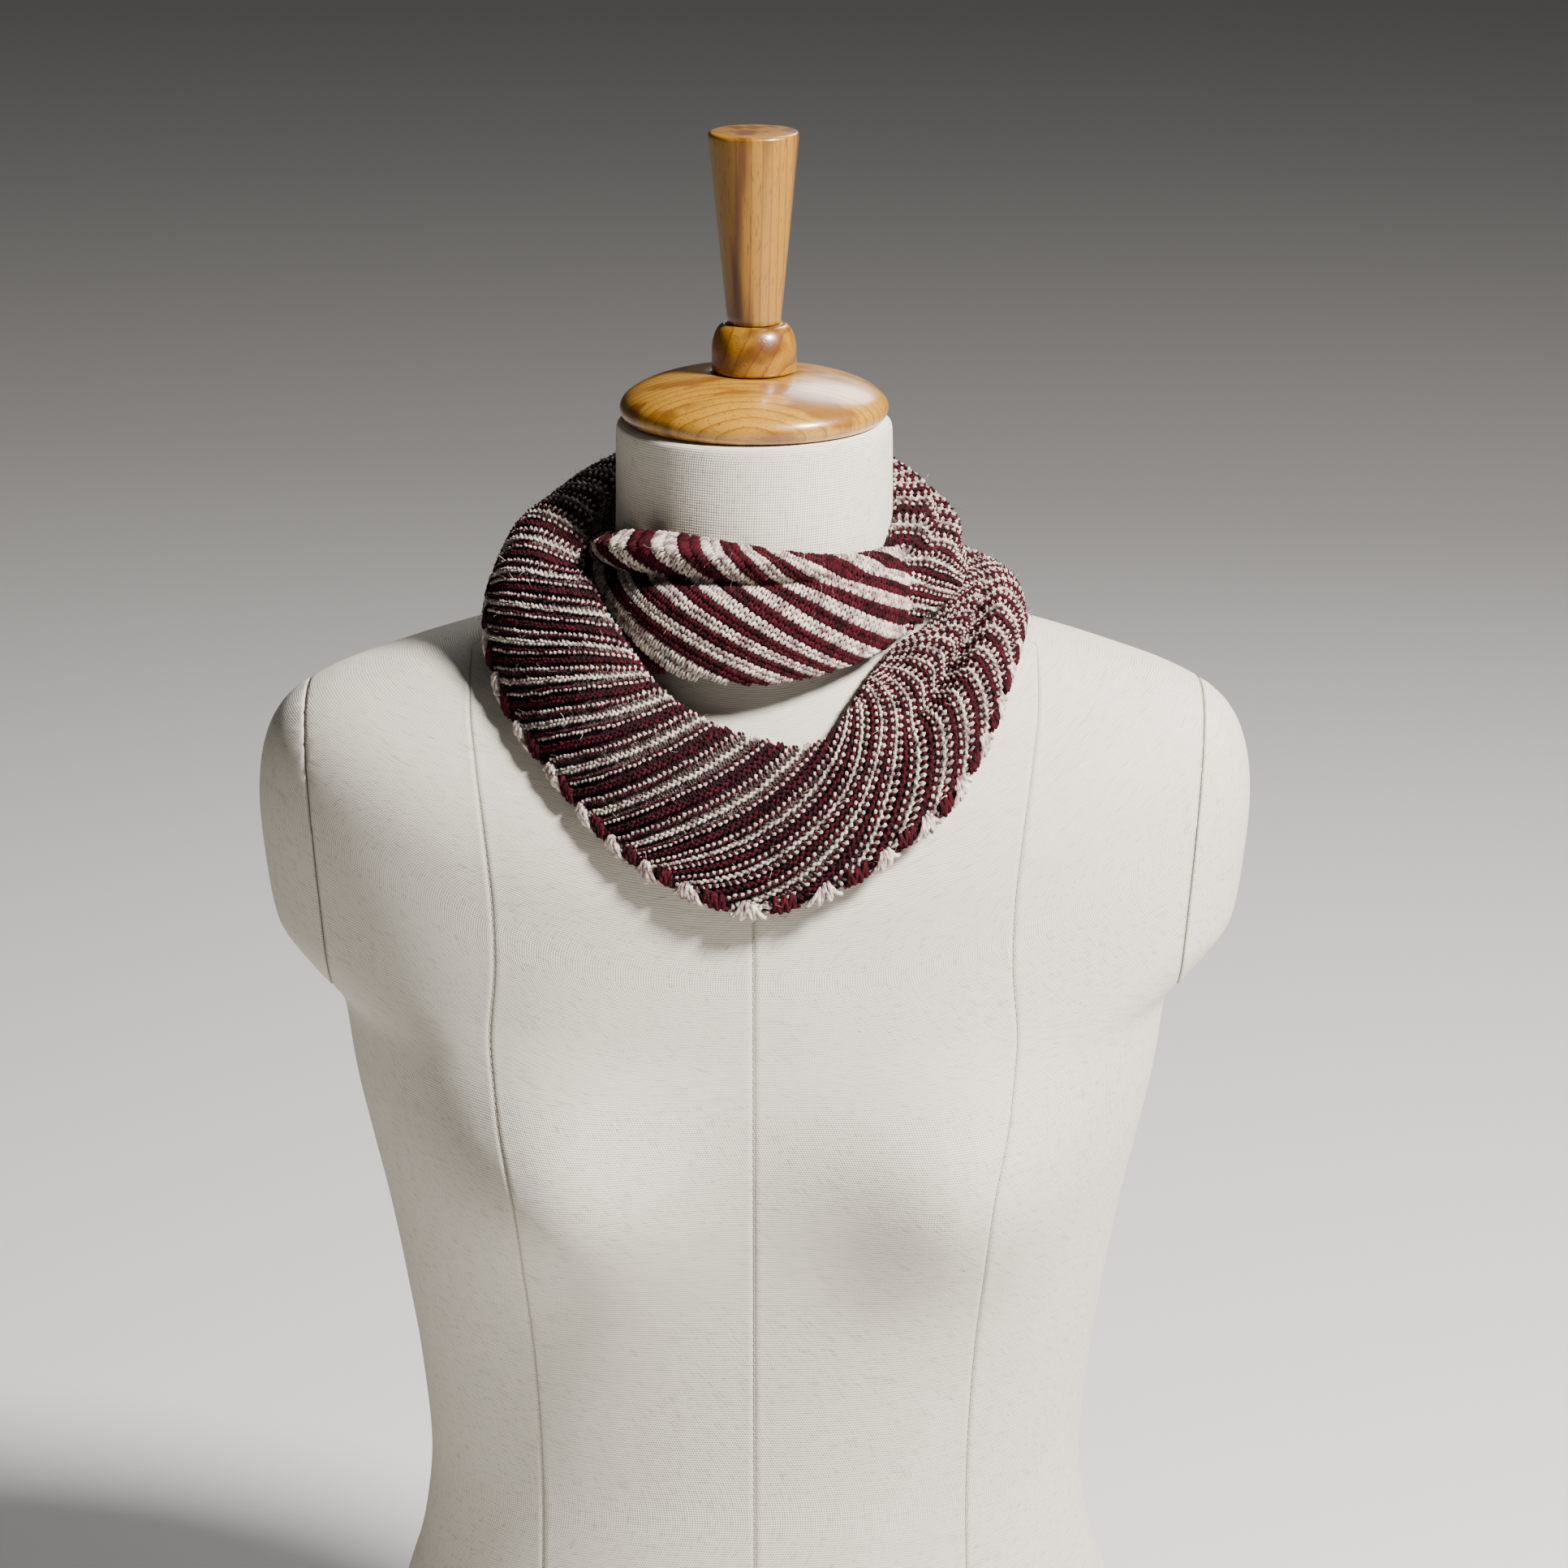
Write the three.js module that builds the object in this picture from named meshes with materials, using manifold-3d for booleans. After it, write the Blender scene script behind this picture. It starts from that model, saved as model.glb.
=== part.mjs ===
// A knitted neck warmer wound twice round the neck of a limbless dress form.
//
// Millimetres, +Z up. The origin is the middle of the form's flat underside. The form faces -Y,
// and +X is the side on the right of somebody who looks at its front.
//
// The neck warmer is one closed band of knitting, folded lengthwise, so each stretch of it is a
// wall of two layers that meet at a fold along the top (inner) edge and end in two selvedges along
// the bottom (outer) edge. Its route is measured by an angle that grows from 0 at the right side,
// by the front, the left side and the back, to 720 after two turns. The first turn (0 to 360) lies
// against the neck, and the second (360 to 720) lies outside and over it. They change places
// behind the right side of the neck, where the end of the second turn passes above the first.

import * as THREE from 'three';
import { mergeVertices } from 'three/addons/utils/BufferGeometryUtils.js';
import Module from 'manifold-3d';

// ---------------------------------------------------------------- driving dimensions

const NECK_TOP = 650; // height of the form's neck
const NECK_RADIUS = 57;
const SEAM_GAP = 0.3; // between pieces that touch
const FORM_SEGMENTS = 44;
const WOOD_SEGMENTS = 32;

const SHOULDER_TOP = { x: 187, z: 541 }; // the armhole seams lean in a plane through these two
const UNDERARM = { x: 175.5, z: 411 };
const BUST = { x: 94, z: 347, reachX: 50, reachZ: 46, height: 29 };
const CAP_NARROWNESS = 6; // how closely a shoulder cap keeps to the side of the form

const DISC = { radius: 55.5, foot: 51, height: 20, bellyHeight: 5.5 };
const BEAD = { radius: 17.5, top: 12, height: 20, wall: 8.5 };
const HANDLE = { bottom: 11, top: 18.7, height: 79, edge: 0.9 };

const LAYER = 3; // thickness of one layer of the knitting
const FOLD_GAP = 0.8; // between the two layers of the folded band
const FRONT_STEPS = 10; // points across the front layer, less one
const FOLD_STEPS = 4; // round the fold
const BACK_STEPS = 6; // across the hidden layer
const STATION_STEP = 9; // degrees along the band between two sections
const PIECE_GAP = 0.3; // degrees between two stretches
const TURNS = 720;

// The form, from the top of its neck to its underside. Each ring has its half width to the side,
// how far the shoulder cap stands out from that, its depth to the front and back, how square it is
// (2 is an ellipse), and its height at the sides, front and back.
const FORM_COLUMNS = ['side', 'cap', 'front', 'back', 'square', 'sideZ', 'frontZ', 'backZ'];
const FORM_RINGS = [
  [55.5, 0, 55.5, 55.5, 2, NECK_TOP, NECK_TOP, NECK_TOP],
  [57, 0, NECK_RADIUS, NECK_RADIUS, 2, 647, 647, 647],
  [57.3, 0, 57.3, 57.3, 2, 630, 630, 630],
  [57.6, 0, 57.6, 57.6, 2, 606, 604, 606],
  [59, 0, 58.5, 58.5, 2, 592, 584, 594],
  [64, 0, 62, 62, 2, 581, 568, 585],
  [76, 0, 68, 69, 2, 572.5, 553, 578],
  [97, 0, 75, 77, 2.05, 566, 539, 569],
  [124, 0, 83, 87, 2.1, 559, 524, 556],
  [152, 0, 91, 96, 2.15, 551, 508, 541],
  [174, 4, 99, 103, 2.2, 542, 490, 522],
  [182, 14, 104, 107, 2.25, 531, 471, 501],
  [184, 21, 106, 109, 2.3, 515, 453, 478],
  [183, 25, 108, 109, 2.3, 493, 437, 455],
  [180, 26, 110, 108.5, 2.3, 466, 422, 434],
  [177, 25, 111.5, 108, 2.3, 441, 409, 415],
  [175, 15, 113, 107, 2.3, 424, 399, 402],
  [174, 3, 114, 106.5, 2.3, 412, 391, 392],
  [172.5, 0, 115, 106, 2.3, 398, 382, 382],
  [169, 0, 115.5, 104, 2.3, 374, 366, 366],
  [163, 0, 114, 101, 2.3, 347, 344, 344],
  [156, 0, 110.5, 97.5, 2.3, 316, 316, 316],
  [149.5, 0, 106, 94, 2.3, 280, 280, 280],
  [144, 0, 101.5, 91, 2.25, 244, 244, 244],
  [140.3, 0, 98, 90, 2.2, 200, 200, 200],
  [144, 0, 98.5, 95, 2.2, 164, 164, 164],
  [151.5, 0, 101, 102, 2.2, 138, 138, 138],
  [163, 0, 105, 112, 2.2, 100, 100, 100],
  [172, 0, 108, 119, 2.2, 60, 60, 60],
  [176, 0, 109, 122, 2.2, 22, 22, 22],
  [176, 0, 109, 122, 2.2, 0, 0, 0],
];

// The band. Each row is a section of its front face at an angle along the route: the radius and
// height of its top (fold) edge and of its bottom (selvedge) edge, how far it bulges between
// them, how far the roll under the top edge stands out, and where, as a share of the way down,
// a crease runs and how deep it is.
const BAND_COLUMNS = ['at', 'topR', 'topZ', 'edgeR', 'edgeZ', 'bulge', 'roll', 'crease', 'depth'];
const BAND_ROWS = [
  // first turn: right side, front, left side, back
  [0, 62, 617, 88, 590, 6, 0, 0.45, 3],
  [15, 62, 610, 87, 586, 5.5, 0, 0.42, 3],
  [30, 62, 603, 84, 581, 5, 1, 0.3, 2],
  [60, 65, 605.5, 84, 568, 4.5, 1, 0.14, 1.5],
  [90, 66, 611, 85, 562, 4.5, 1.5, 0.2, 5],
  [120, 66, 614.5, 80.8, 563.5, 4.5, 3, 0.29, 6.5],
  [140, 64.5, 612, 78, 569, 3.5, 2.5, 0.34, 5.5],
  [160, 63.5, 607, 76, 577, 3.5, 1, 0.36, 3],
  [180, 63.8, 601, 77, 581, 3, 0, 0.4, 0],
  [210, 63.7, 600, 76, 584.5, 3, 0, 0.4, 0],
  [240, 63.2, 606, 77, 587, 3, 0, 0.4, 0],
  [270, 63.2, 608, 77, 589, 3, 0, 0.4, 0],
  [300, 64, 604, 86, 580, 4, 0, 0.4, 0],
  [325, 74, 596, 99, 572, 6, 0, 0.3, 0],
  [345, 89, 585, 108, 567, 9, 0, 0.3, 0],
  // second turn: right side, front, left side, back
  [360, 91, 583, 112, 566, 9, 0, 0.3, 0],
  [375, 89, 580, 113.5, 561.5, 10, 0, 0.22, 5],
  [385, 86.5, 575.5, 116, 553, 11, 0, 0.33, 9],
  [394, 83, 571, 120, 541, 11, 0, 0.38, 9],
  [403, 80, 567, 124, 527, 10, 0, 0.42, 7],
  [411, 82, 560.5, 126, 512, 8.5, 0, 0.43, 3],
  [420, 86, 550.5, 125, 500, 7, 0, 0.44, 1],
  [430, 90.5, 537, 122, 486, 6, 0, 0.44, 0],
  [438, 89.5, 533, 119, 478.5, 6, 0, 0.44, 0],
  [450, 86.5, 536.5, 115.5, 472.5, 6, 0, 0.44, 0],
  [465, 86, 544, 115, 481, 7, 0, 0.44, 0],
  [480, 85.5, 557.8, 116.3, 497, 8, 0, 0.44, 0],
  [495, 86, 581, 118, 523, 9, 0, 0.44, 0],
  [507, 81.5, 592, 119, 541, 10, 0, 0.44, 0],
  [520, 77, 597.5, 117, 564, 12, 0, 0.44, 0],
  [535, 71, 610, 109, 584, 13, 0, 0.44, 0],
  [550, 66, 618, 99.5, 590, 10, 0, 0.44, 0],
  [570, 64.5, 626, 97, 588, 9.5, 0, 0.44, 0],
  [600, 64, 631, 101, 584, 10.5, 0, 0.44, 0],
  [630, 64, 633, 104, 585, 11, 0, 0.44, 0],
  [660, 63, 631, 98, 590, 10, 0, 0.44, 1],
  [675, 62, 627, 90, 596, 8, 0, 0.45, 2],
  [690, 61.8, 622, 83, 602, 6, 0, 0.45, 3],
  [708, 62, 620, 87, 594, 6, 0, 0.45, 3],
];

// The stretches of the band, each a piece of its own, by where they start and end on the route.
const STRETCHES = [
  { name: 'cowl_inner_front', from: 40, to: 140 },
  { name: 'cowl_inner_left', from: 140, to: 215 },
  { name: 'cowl_inner_back', from: 215, to: 320 },
  { name: 'cowl_outer_right', from: 320, to: 405 },
  { name: 'cowl_outer_front', from: 405, to: 495 },
  { name: 'cowl_outer_left', from: 495, to: 585 },
  { name: 'cowl_outer_back', from: 585, to: 665 },
  { name: 'cowl_inner_right', from: 665, to: 760 },
];

const COLOURS = { linen: 0xd9d3c6, wood: 0xd79a4e, maroon: 0x5b1526, cream: 0xcdbcb4 };

// ---------------------------------------------------------------- helpers

const radians = THREE.MathUtils.degToRad;

function named(columns, row) {
  return Object.fromEntries(columns.map((column, i) => [column, row[i]]));
}

// A smooth curve through a table's column that never overshoots its rows.
function slopes(places, values) {
  const steps = places.slice(1).map((place, i) => place - places[i]);
  const rises = steps.map((step, i) => (values[i + 1] - values[i]) / step);
  return values.map((_, i) => {
    if (i === 0) return rises[0];
    if (i === values.length - 1) return rises[i - 1];
    const [before, after] = [rises[i - 1], rises[i]];
    if (before * after <= 0) return 0;
    const slope = (before * steps[i] + after * steps[i - 1]) / (steps[i] + steps[i - 1]);
    const limit = 3 * Math.min(Math.abs(before), Math.abs(after));
    return THREE.MathUtils.clamp(slope, -limit, limit);
  });
}

function smoothColumn(places, values) {
  const slope = slopes(places, values);
  return (place) => {
    let i = places.findIndex((p) => p >= place) - 1;
    if (i < 0) i = 0;
    const step = places[i + 1] - places[i];
    const u = (place - places[i]) / step;
    const start = (1 + 2 * u) * (1 - u) ** 2 * values[i] + u * (1 - u) ** 2 * step * slope[i];
    const end = u * u * (3 - 2 * u) * values[i + 1] + u * u * (u - 1) * step * slope[i + 1];
    return start + end;
  };
}

function signedPower(value, power) {
  return Math.sign(value) * Math.abs(value) ** power;
}

// A closed surface through rings of the same number of points, with a lid on each end.
function skin(rings, lid) {
  const count = rings[0].length;
  const index = [];
  for (let i = 0; i + 1 < rings.length; i += 1) {
    for (let j = 0; j < count; j += 1) {
      const next = (j + 1) % count;
      const [a, b, c, d] = [i * count + j, i * count + next, (i + 1) * count + next, (i + 1) * count + j];
      index.push(a, b, c, a, c, d);
    }
  }
  lid(index, 0, count, true);
  lid(index, (rings.length - 1) * count, count, false);
  const geometry = new THREE.BufferGeometry();
  const flat = rings.flat().flatMap((p) => [p.x, p.y, p.z]);
  geometry.setAttribute('position', new THREE.Float32BufferAttribute(flat, 3));
  geometry.setIndex(index);
  return facingOut(geometry);
}

// Lids for a ring whose points all see its first one, and for a ribbon bent round a line: the
// ribbon's points run along one face and back along the other.
function fanLid(index, first, count, reversed) {
  for (let j = 1; j + 1 < count; j += 1) {
    const face = [first, first + j, first + j + 1];
    index.push(...(reversed ? face.reverse() : face));
  }
}

function ribbonLid(index, first, count, reversed) {
  for (let j = 0; j + 1 < count / 2; j += 1) {
    const [a, b] = [first + j, first + j + 1];
    const [c, d] = [first + count - 2 - j, first + count - 1 - j];
    const faces = [a, b, c, a, c, d];
    index.push(...(reversed ? faces.reverse() : faces));
  }
}

function facingOut(geometry) {
  const p = geometry.getAttribute('position');
  const index = geometry.getIndex();
  const [a, b, c] = [new THREE.Vector3(), new THREE.Vector3(), new THREE.Vector3()];
  let volume = 0;
  for (let i = 0; i < index.count; i += 3) {
    a.fromBufferAttribute(p, index.getX(i));
    b.fromBufferAttribute(p, index.getX(i + 1));
    c.fromBufferAttribute(p, index.getX(i + 2));
    volume += a.dot(b.cross(c));
  }
  if (volume < 0) {
    const turned = Array.from(index.array).reverse();
    geometry.setIndex(turned);
  }
  geometry.computeVertexNormals();
  return geometry;
}

// ---------------------------------------------------------------- joining and cutting

const wasm = await Module();
wasm.setup();

function solid(geometry) {
  const bare = geometry.clone();
  bare.deleteAttribute('normal');
  bare.deleteAttribute('uv');
  const merged = mergeVertices(bare, 1e-4);
  const vertProperties = new Float32Array(merged.getAttribute('position').array);
  const triVerts = new Uint32Array(merged.getIndex().array);
  return new wasm.Manifold(new wasm.Mesh({ numProp: 3, vertProperties, triVerts }));
}

function geometryOf(manifold) {
  const mesh = manifold.getMesh();
  const geometry = new THREE.BufferGeometry();
  geometry.setAttribute('position', new THREE.Float32BufferAttribute(mesh.vertProperties, 3));
  geometry.setIndex(Array.from(mesh.triVerts));
  geometry.computeVertexNormals();
  return geometry;
}

// ---------------------------------------------------------------- the dress form

function formPoint(ring, turn) {
  const [c, s] = [Math.cos(turn), Math.sin(turn)];
  const isFront = s < 0;
  const middleZ = isFront ? ring.frontZ : ring.backZ;
  const cap = ring.cap * signedPower(c, CAP_NARROWNESS);
  const x = ring.side * signedPower(c, 2 / ring.square) + cap;
  const depth = (isFront ? ring.front : ring.back) * signedPower(s, 2 / ring.square);
  const z = middleZ + (ring.sideZ - middleZ) * c * c;
  const across = (Math.abs(x) - BUST.x) / BUST.reachX;
  const upward = (z - BUST.z) / BUST.reachZ;
  const bust = isFront ? BUST.height * Math.exp(-across * across - upward * upward) * -s : 0;
  return new THREE.Vector3(x, depth - bust, z);
}

function formBody() {
  const rings = FORM_RINGS.map((row) => {
    const ring = named(FORM_COLUMNS, row);
    return Array.from({ length: FORM_SEGMENTS }, (_, i) =>
      formPoint(ring, (i / FORM_SEGMENTS) * 2 * Math.PI));
  });
  return skin(rings, fanLid);
}

// Everything outside the armhole seam on one side (1 right, -1 left), moved out by gap.
function outsideArmhole(side, gap) {
  const [wide, deep, tall, below] = [200, 400, 300, 6];
  const lean = Math.atan2(SHOULDER_TOP.x - UNDERARM.x, SHOULDER_TOP.z - UNDERARM.z);
  const box = new THREE.BoxGeometry(wide, deep, tall);
  box.translate(wide / 2 + gap, 0, tall / 2 - below);
  box.rotateY(lean);
  box.translate(UNDERARM.x, 0, UNDERARM.z);
  if (side < 0) box.rotateZ(Math.PI);
  return solid(box);
}

function latheSolid(outline) {
  const points = outline.map(([r, z]) => new THREE.Vector2(r, z));
  const geometry = new THREE.LatheGeometry(points, WOOD_SEGMENTS);
  geometry.rotateX(Math.PI / 2);
  return geometry;
}

// A quarter ellipse from (r0, z0), where it is upright, to (r1, z1), where it is level.
function quarter(r0, z0, r1, z1, steps) {
  return Array.from({ length: steps + 1 }, (_, i) => {
    const turn = (i / steps) * (Math.PI / 2);
    return [r1 + (r0 - r1) * Math.cos(turn), z0 + (z1 - z0) * Math.sin(turn)];
  });
}

function discOutline() {
  const { radius, foot, height, bellyHeight } = DISC;
  const under = quarter(radius, bellyHeight, foot, 0, 3).reverse();
  const dome = quarter(radius, bellyHeight, 0, height + 1.4, 9).filter(([r]) => r > BEAD.radius);
  return [[0, 0], ...under, ...dome.slice(1), [BEAD.radius, height], [0, height]];
}

function beadOutline() {
  const { radius, top, height, wall } = BEAD;
  return [[0, 0], [radius, 0], ...quarter(radius, wall, top, height, 5), [0, height]];
}

function handleOutline() {
  const { bottom, top, height, edge } = HANDLE;
  return [[0, 0], [bottom, 0], [top, height - edge], [top - edge, height], [0, height]];
}

// ---------------------------------------------------------------- the knitted band

function bandTable() {
  const turns = [-1, 0, 1];
  const rows = turns.flatMap((turn) => BAND_ROWS.map(([at, ...rest]) => [at + turn * TURNS, ...rest]));
  const places = rows.map((row) => row[0]);
  const columns = BAND_COLUMNS.slice(1).map((name, i) => {
    const values = rows.map((row) => row[i + 1]);
    return [name, smoothColumn(places, values)];
  });
  return (at) => Object.fromEntries(columns.map(([name, curve]) => [name, curve(at)]));
}

const bandAt = bandTable();

// Points, as (radius, height), down the front face of the band, with its bulge, roll and crease.
function frontFace(row) {
  const top = new THREE.Vector2(row.topR, row.topZ);
  const edge = new THREE.Vector2(row.edgeR, row.edgeZ);
  const down = edge.clone().sub(top);
  const out = new THREE.Vector2(-down.y, down.x).normalize();
  return Array.from({ length: FRONT_STEPS + 1 }, (_, i) => {
    const v = i / FRONT_STEPS;
    const bulge = row.bulge * 4 * v * (1 - v) * (1.25 - 0.5 * v);
    const roll = row.roll * Math.exp(-(((v - 0.15) / 0.13) ** 2));
    const crease = row.depth * Math.exp(-(((v - row.crease) / 0.085) ** 2));
    return top.clone().addScaledVector(down, v).addScaledVector(out, bulge + roll - crease);
  });
}

function outwards(points) {
  return points.map((_, i) => {
    const before = points[Math.max(i - 1, 0)];
    const after = points[Math.min(i + 1, points.length - 1)];
    const along = after.clone().sub(before).normalize();
    return new THREE.Vector2(-along.y, along.x);
  });
}

function moved(points, directions, distance) {
  return points.map((point, i) => point.clone().addScaledVector(directions[i], distance));
}

// Every n-th point of a line, keeping both ends.
function thinned(points, steps) {
  const last = points.length - 1;
  return Array.from({ length: steps + 1 }, (_, i) => points[Math.round((i / steps) * last)]);
}

// The middle line of the folded wall: up the hidden layer, round the fold, down the front one.
function foldedLine(row) {
  const face = frontFace(row);
  const out = outwards(face);
  const front = moved(face, out, -LAYER / 2);
  const hidden = thinned(moved(front, out, -LAYER - FOLD_GAP), BACK_STEPS);
  const centre = front[0].clone().add(hidden[0]).multiplyScalar(0.5);
  const arm = front[0].clone().sub(centre);
  const over = new THREE.Vector2(-arm.y, arm.x);
  const fold = Array.from({ length: FOLD_STEPS - 1 }, (_, i) => {
    const turn = Math.PI * (1 - (i + 1) / FOLD_STEPS);
    return centre.clone().addScaledVector(arm, Math.cos(turn)).addScaledVector(over, Math.sin(turn));
  });
  return [...hidden.reverse(), ...fold, ...front];
}

function bandSection(at) {
  const line = foldedLine(bandAt(at));
  const side = outwards(line);
  const outline = [...moved(line, side, LAYER / 2), ...moved(line, side, -LAYER / 2).reverse()];
  const turn = radians(at);
  return outline.map((p) => new THREE.Vector3(p.x * Math.cos(turn), -p.x * Math.sin(turn), p.y));
}

function bandStretch({ from, to }) {
  const [start, end] = [from + PIECE_GAP / 2, to - PIECE_GAP / 2];
  const steps = Math.ceil((end - start) / STATION_STEP);
  const sections = Array.from({ length: steps + 1 }, (_, i) =>
    bandSection(start + ((end - start) * i) / steps));
  return skin(sections, ribbonLid);
}

// ---------------------------------------------------------------- materials and pieces

function material(color, roughness) {
  return new THREE.MeshStandardMaterial({ color, roughness, metalness: 0 });
}

function piece(name, geometry, look) {
  const mesh = new THREE.Mesh(geometry, look);
  mesh.name = name;
  return mesh;
}

const part = new THREE.Group();

const body = solid(formBody());
const rightCut = outsideArmhole(1, 0);
const leftCut = outsideArmhole(-1, 0);
const torso = body.subtract(rightCut).subtract(leftCut);
const rightCap = body.intersect(outsideArmhole(1, SEAM_GAP));
const leftCap = body.intersect(outsideArmhole(-1, SEAM_GAP));
part.add(piece('form_torso', geometryOf(torso), material(COLOURS.linen, 0.9)));
part.add(piece('form_cap_right', geometryOf(rightCap), material(COLOURS.linen, 0.9)));
part.add(piece('form_cap_left', geometryOf(leftCap), material(COLOURS.linen, 0.9)));

const discFoot = NECK_TOP + SEAM_GAP;
const beadFoot = discFoot + DISC.height + SEAM_GAP;
const handleFoot = beadFoot + BEAD.height + SEAM_GAP;
const turned = [
  ['form_neck_disc', discOutline(), discFoot],
  ['form_bead', beadOutline(), beadFoot],
  ['form_handle', handleOutline(), handleFoot],
];
for (const [name, outline, height] of turned) {
  const mesh = piece(name, latheSolid(outline), material(COLOURS.wood, 0.3));
  mesh.position.z = height;
  part.add(mesh);
}

for (const stretch of STRETCHES) {
  const isInner = stretch.name.includes('inner');
  const look = material(isInner ? COLOURS.cream : COLOURS.maroon, 0.95);
  part.add(piece(stretch.name, bandStretch(stretch), look));
}

export default part;
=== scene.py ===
# %% [markdown]
# # A knitted neck warmer, wound twice round a dress form
#
# One band of striped knitting, folded lengthwise, goes twice round the neck of a limbless dress
# form. The CAD model gives the places and sizes. Here every piece gets the shape it has up
# close: the padded form with its sewn seams, the turned wood, and the knitting made of real
# loops of yarn, course by course. Stripes painted on a smooth band would be lighter, but from
# near by the eye looks for loops, and from the side for the knobbly edge that only loops give.
# Measures are in millimetres until a mesh is made.

# %% Tools, frame and units
import math

import bmesh
import bpy
import numpy as np
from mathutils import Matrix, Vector


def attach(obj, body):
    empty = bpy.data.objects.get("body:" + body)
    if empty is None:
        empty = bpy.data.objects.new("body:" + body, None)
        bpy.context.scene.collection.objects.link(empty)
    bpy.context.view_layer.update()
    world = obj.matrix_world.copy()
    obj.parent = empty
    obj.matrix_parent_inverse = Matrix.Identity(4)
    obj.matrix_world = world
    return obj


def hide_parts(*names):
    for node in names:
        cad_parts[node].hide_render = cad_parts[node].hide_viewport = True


MM = 0.001
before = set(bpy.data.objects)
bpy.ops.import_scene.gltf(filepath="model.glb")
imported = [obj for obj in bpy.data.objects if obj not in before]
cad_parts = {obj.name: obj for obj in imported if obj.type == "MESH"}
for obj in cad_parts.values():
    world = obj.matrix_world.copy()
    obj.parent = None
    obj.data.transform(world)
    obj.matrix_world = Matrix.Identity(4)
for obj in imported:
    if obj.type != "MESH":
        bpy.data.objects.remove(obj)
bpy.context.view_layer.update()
print("CAD pieces:", ", ".join(sorted(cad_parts)))

# %% [markdown]
# ## The camera
#
# A long lens, far back and a little above the collar, so that it looks slightly down on it. A
# short lens could frame the same things from near by, but it would swell the chest and hide the
# sides of the neck.

# %% Camera
CAMERA_PLACE = (0.0123, -2.2975, 1.1438)
CAMERA_PITCH = 15.8  # degrees below level
LENS, SENSOR = 130.4, 36.0


def link(obj):
    bpy.context.scene.collection.objects.link(obj)
    return obj


def add_camera():
    data = bpy.data.cameras.new("camera")
    data.lens, data.sensor_width = LENS, SENSOR
    camera = link(bpy.data.objects.new("camera", data))
    camera.location = CAMERA_PLACE
    camera.rotation_euler = (math.radians(90 - CAMERA_PITCH), 0, 0)
    bpy.context.scene.camera = camera


add_camera()
print("camera:", LENS, "mm lens, at", CAMERA_PLACE)

# %% [markdown]
# ## The lights
#
# A large soft light high on the right draws the folds and lays the collar's shadow on the chest,
# down to the left. A wide weak one fills from the left, and a rim light from behind catches the
# wool's fibres. Even light from all sides is easier to set up, but relief of a millimetre or two
# only shows when one side is clearly the bright one.

# %% Lights
AIM = (0, -0.05, 0.53)
LIGHTS = [  # name, place, size, power, colour
    ("key", (1.29, -0.92, 1.94), 0.42, 200, (1, 0.965, 0.92)),
    ("fill", (-1.3, -2.0, 1.9), 1.6, 1.5, (0.95, 0.97, 1)),
    ("rim", (0.5, 1.5, 1.6), 0.8, 16, (1, 1, 1)),
]


def add_area_light(name, place, size, power, colour):
    data = bpy.data.lights.new(name, "AREA")
    data.shape, data.size, data.energy, data.color = "DISK", size, power, colour
    light = link(bpy.data.objects.new(name, data))
    light.location = place
    direction = Vector(AIM) - Vector(place)
    light.rotation_euler = direction.to_track_quat("-Z", "Y").to_euler()


for light in LIGHTS:
    add_area_light(*light)
    print("light:", light[0], light[3], "W")

# %% [markdown]
# ## The studio
#
# A plain pale floor that reaches past the view on every side, and a faint even glow from the
# world, so that the deepest shadows keep a little colour. Both are only the stage, and no part
# of the object.

# %% Floor and world
FLOOR_REACH = 14.0
FLOOR_COLOUR = (0.72, 0.71, 0.69, 1)
FLOOR_ROUGHNESS = 0.8
GLOW_COLOUR, GLOW_STRENGTH = (0.75, 0.78, 0.82, 1), 0.04


def add_floor():
    mesh = bpy.data.meshes.new("floor")
    signs = ((-1, -1), (1, -1), (1, 1), (-1, 1))
    mesh.from_pydata([(x * FLOOR_REACH, y * FLOOR_REACH, 0) for x, y in signs], [], [(0, 1, 2, 3)])
    material = bpy.data.materials.new("floor")
    material.use_nodes = True
    shader = material.node_tree.nodes["Principled BSDF"]
    shader.inputs["Base Color"].default_value = FLOOR_COLOUR
    shader.inputs["Roughness"].default_value = FLOOR_ROUGHNESS
    mesh.materials.append(material)
    link(bpy.data.objects.new("floor", mesh))


def add_world():
    world = bpy.data.worlds.new("studio")
    bpy.context.scene.world = world
    world.use_nodes = True
    background = world.node_tree.nodes["Background"]
    background.inputs["Color"].default_value = GLOW_COLOUR
    background.inputs["Strength"].default_value = GLOW_STRENGTH


add_floor()
add_world()
print("floor:", 2 * FLOOR_REACH, "m across")

# %% [markdown]
# ## Smooth curves through tables
#
# Every shape comes from a short table of measures with a smooth curve through its rows, the same
# ones as the CAD model's, so that the fine pieces lie where the plain ones are. Straight lines
# between the rows would show as flats, and an ordinary spline swings out past its rows, so this
# curve is held back wherever it would do that.

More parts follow.
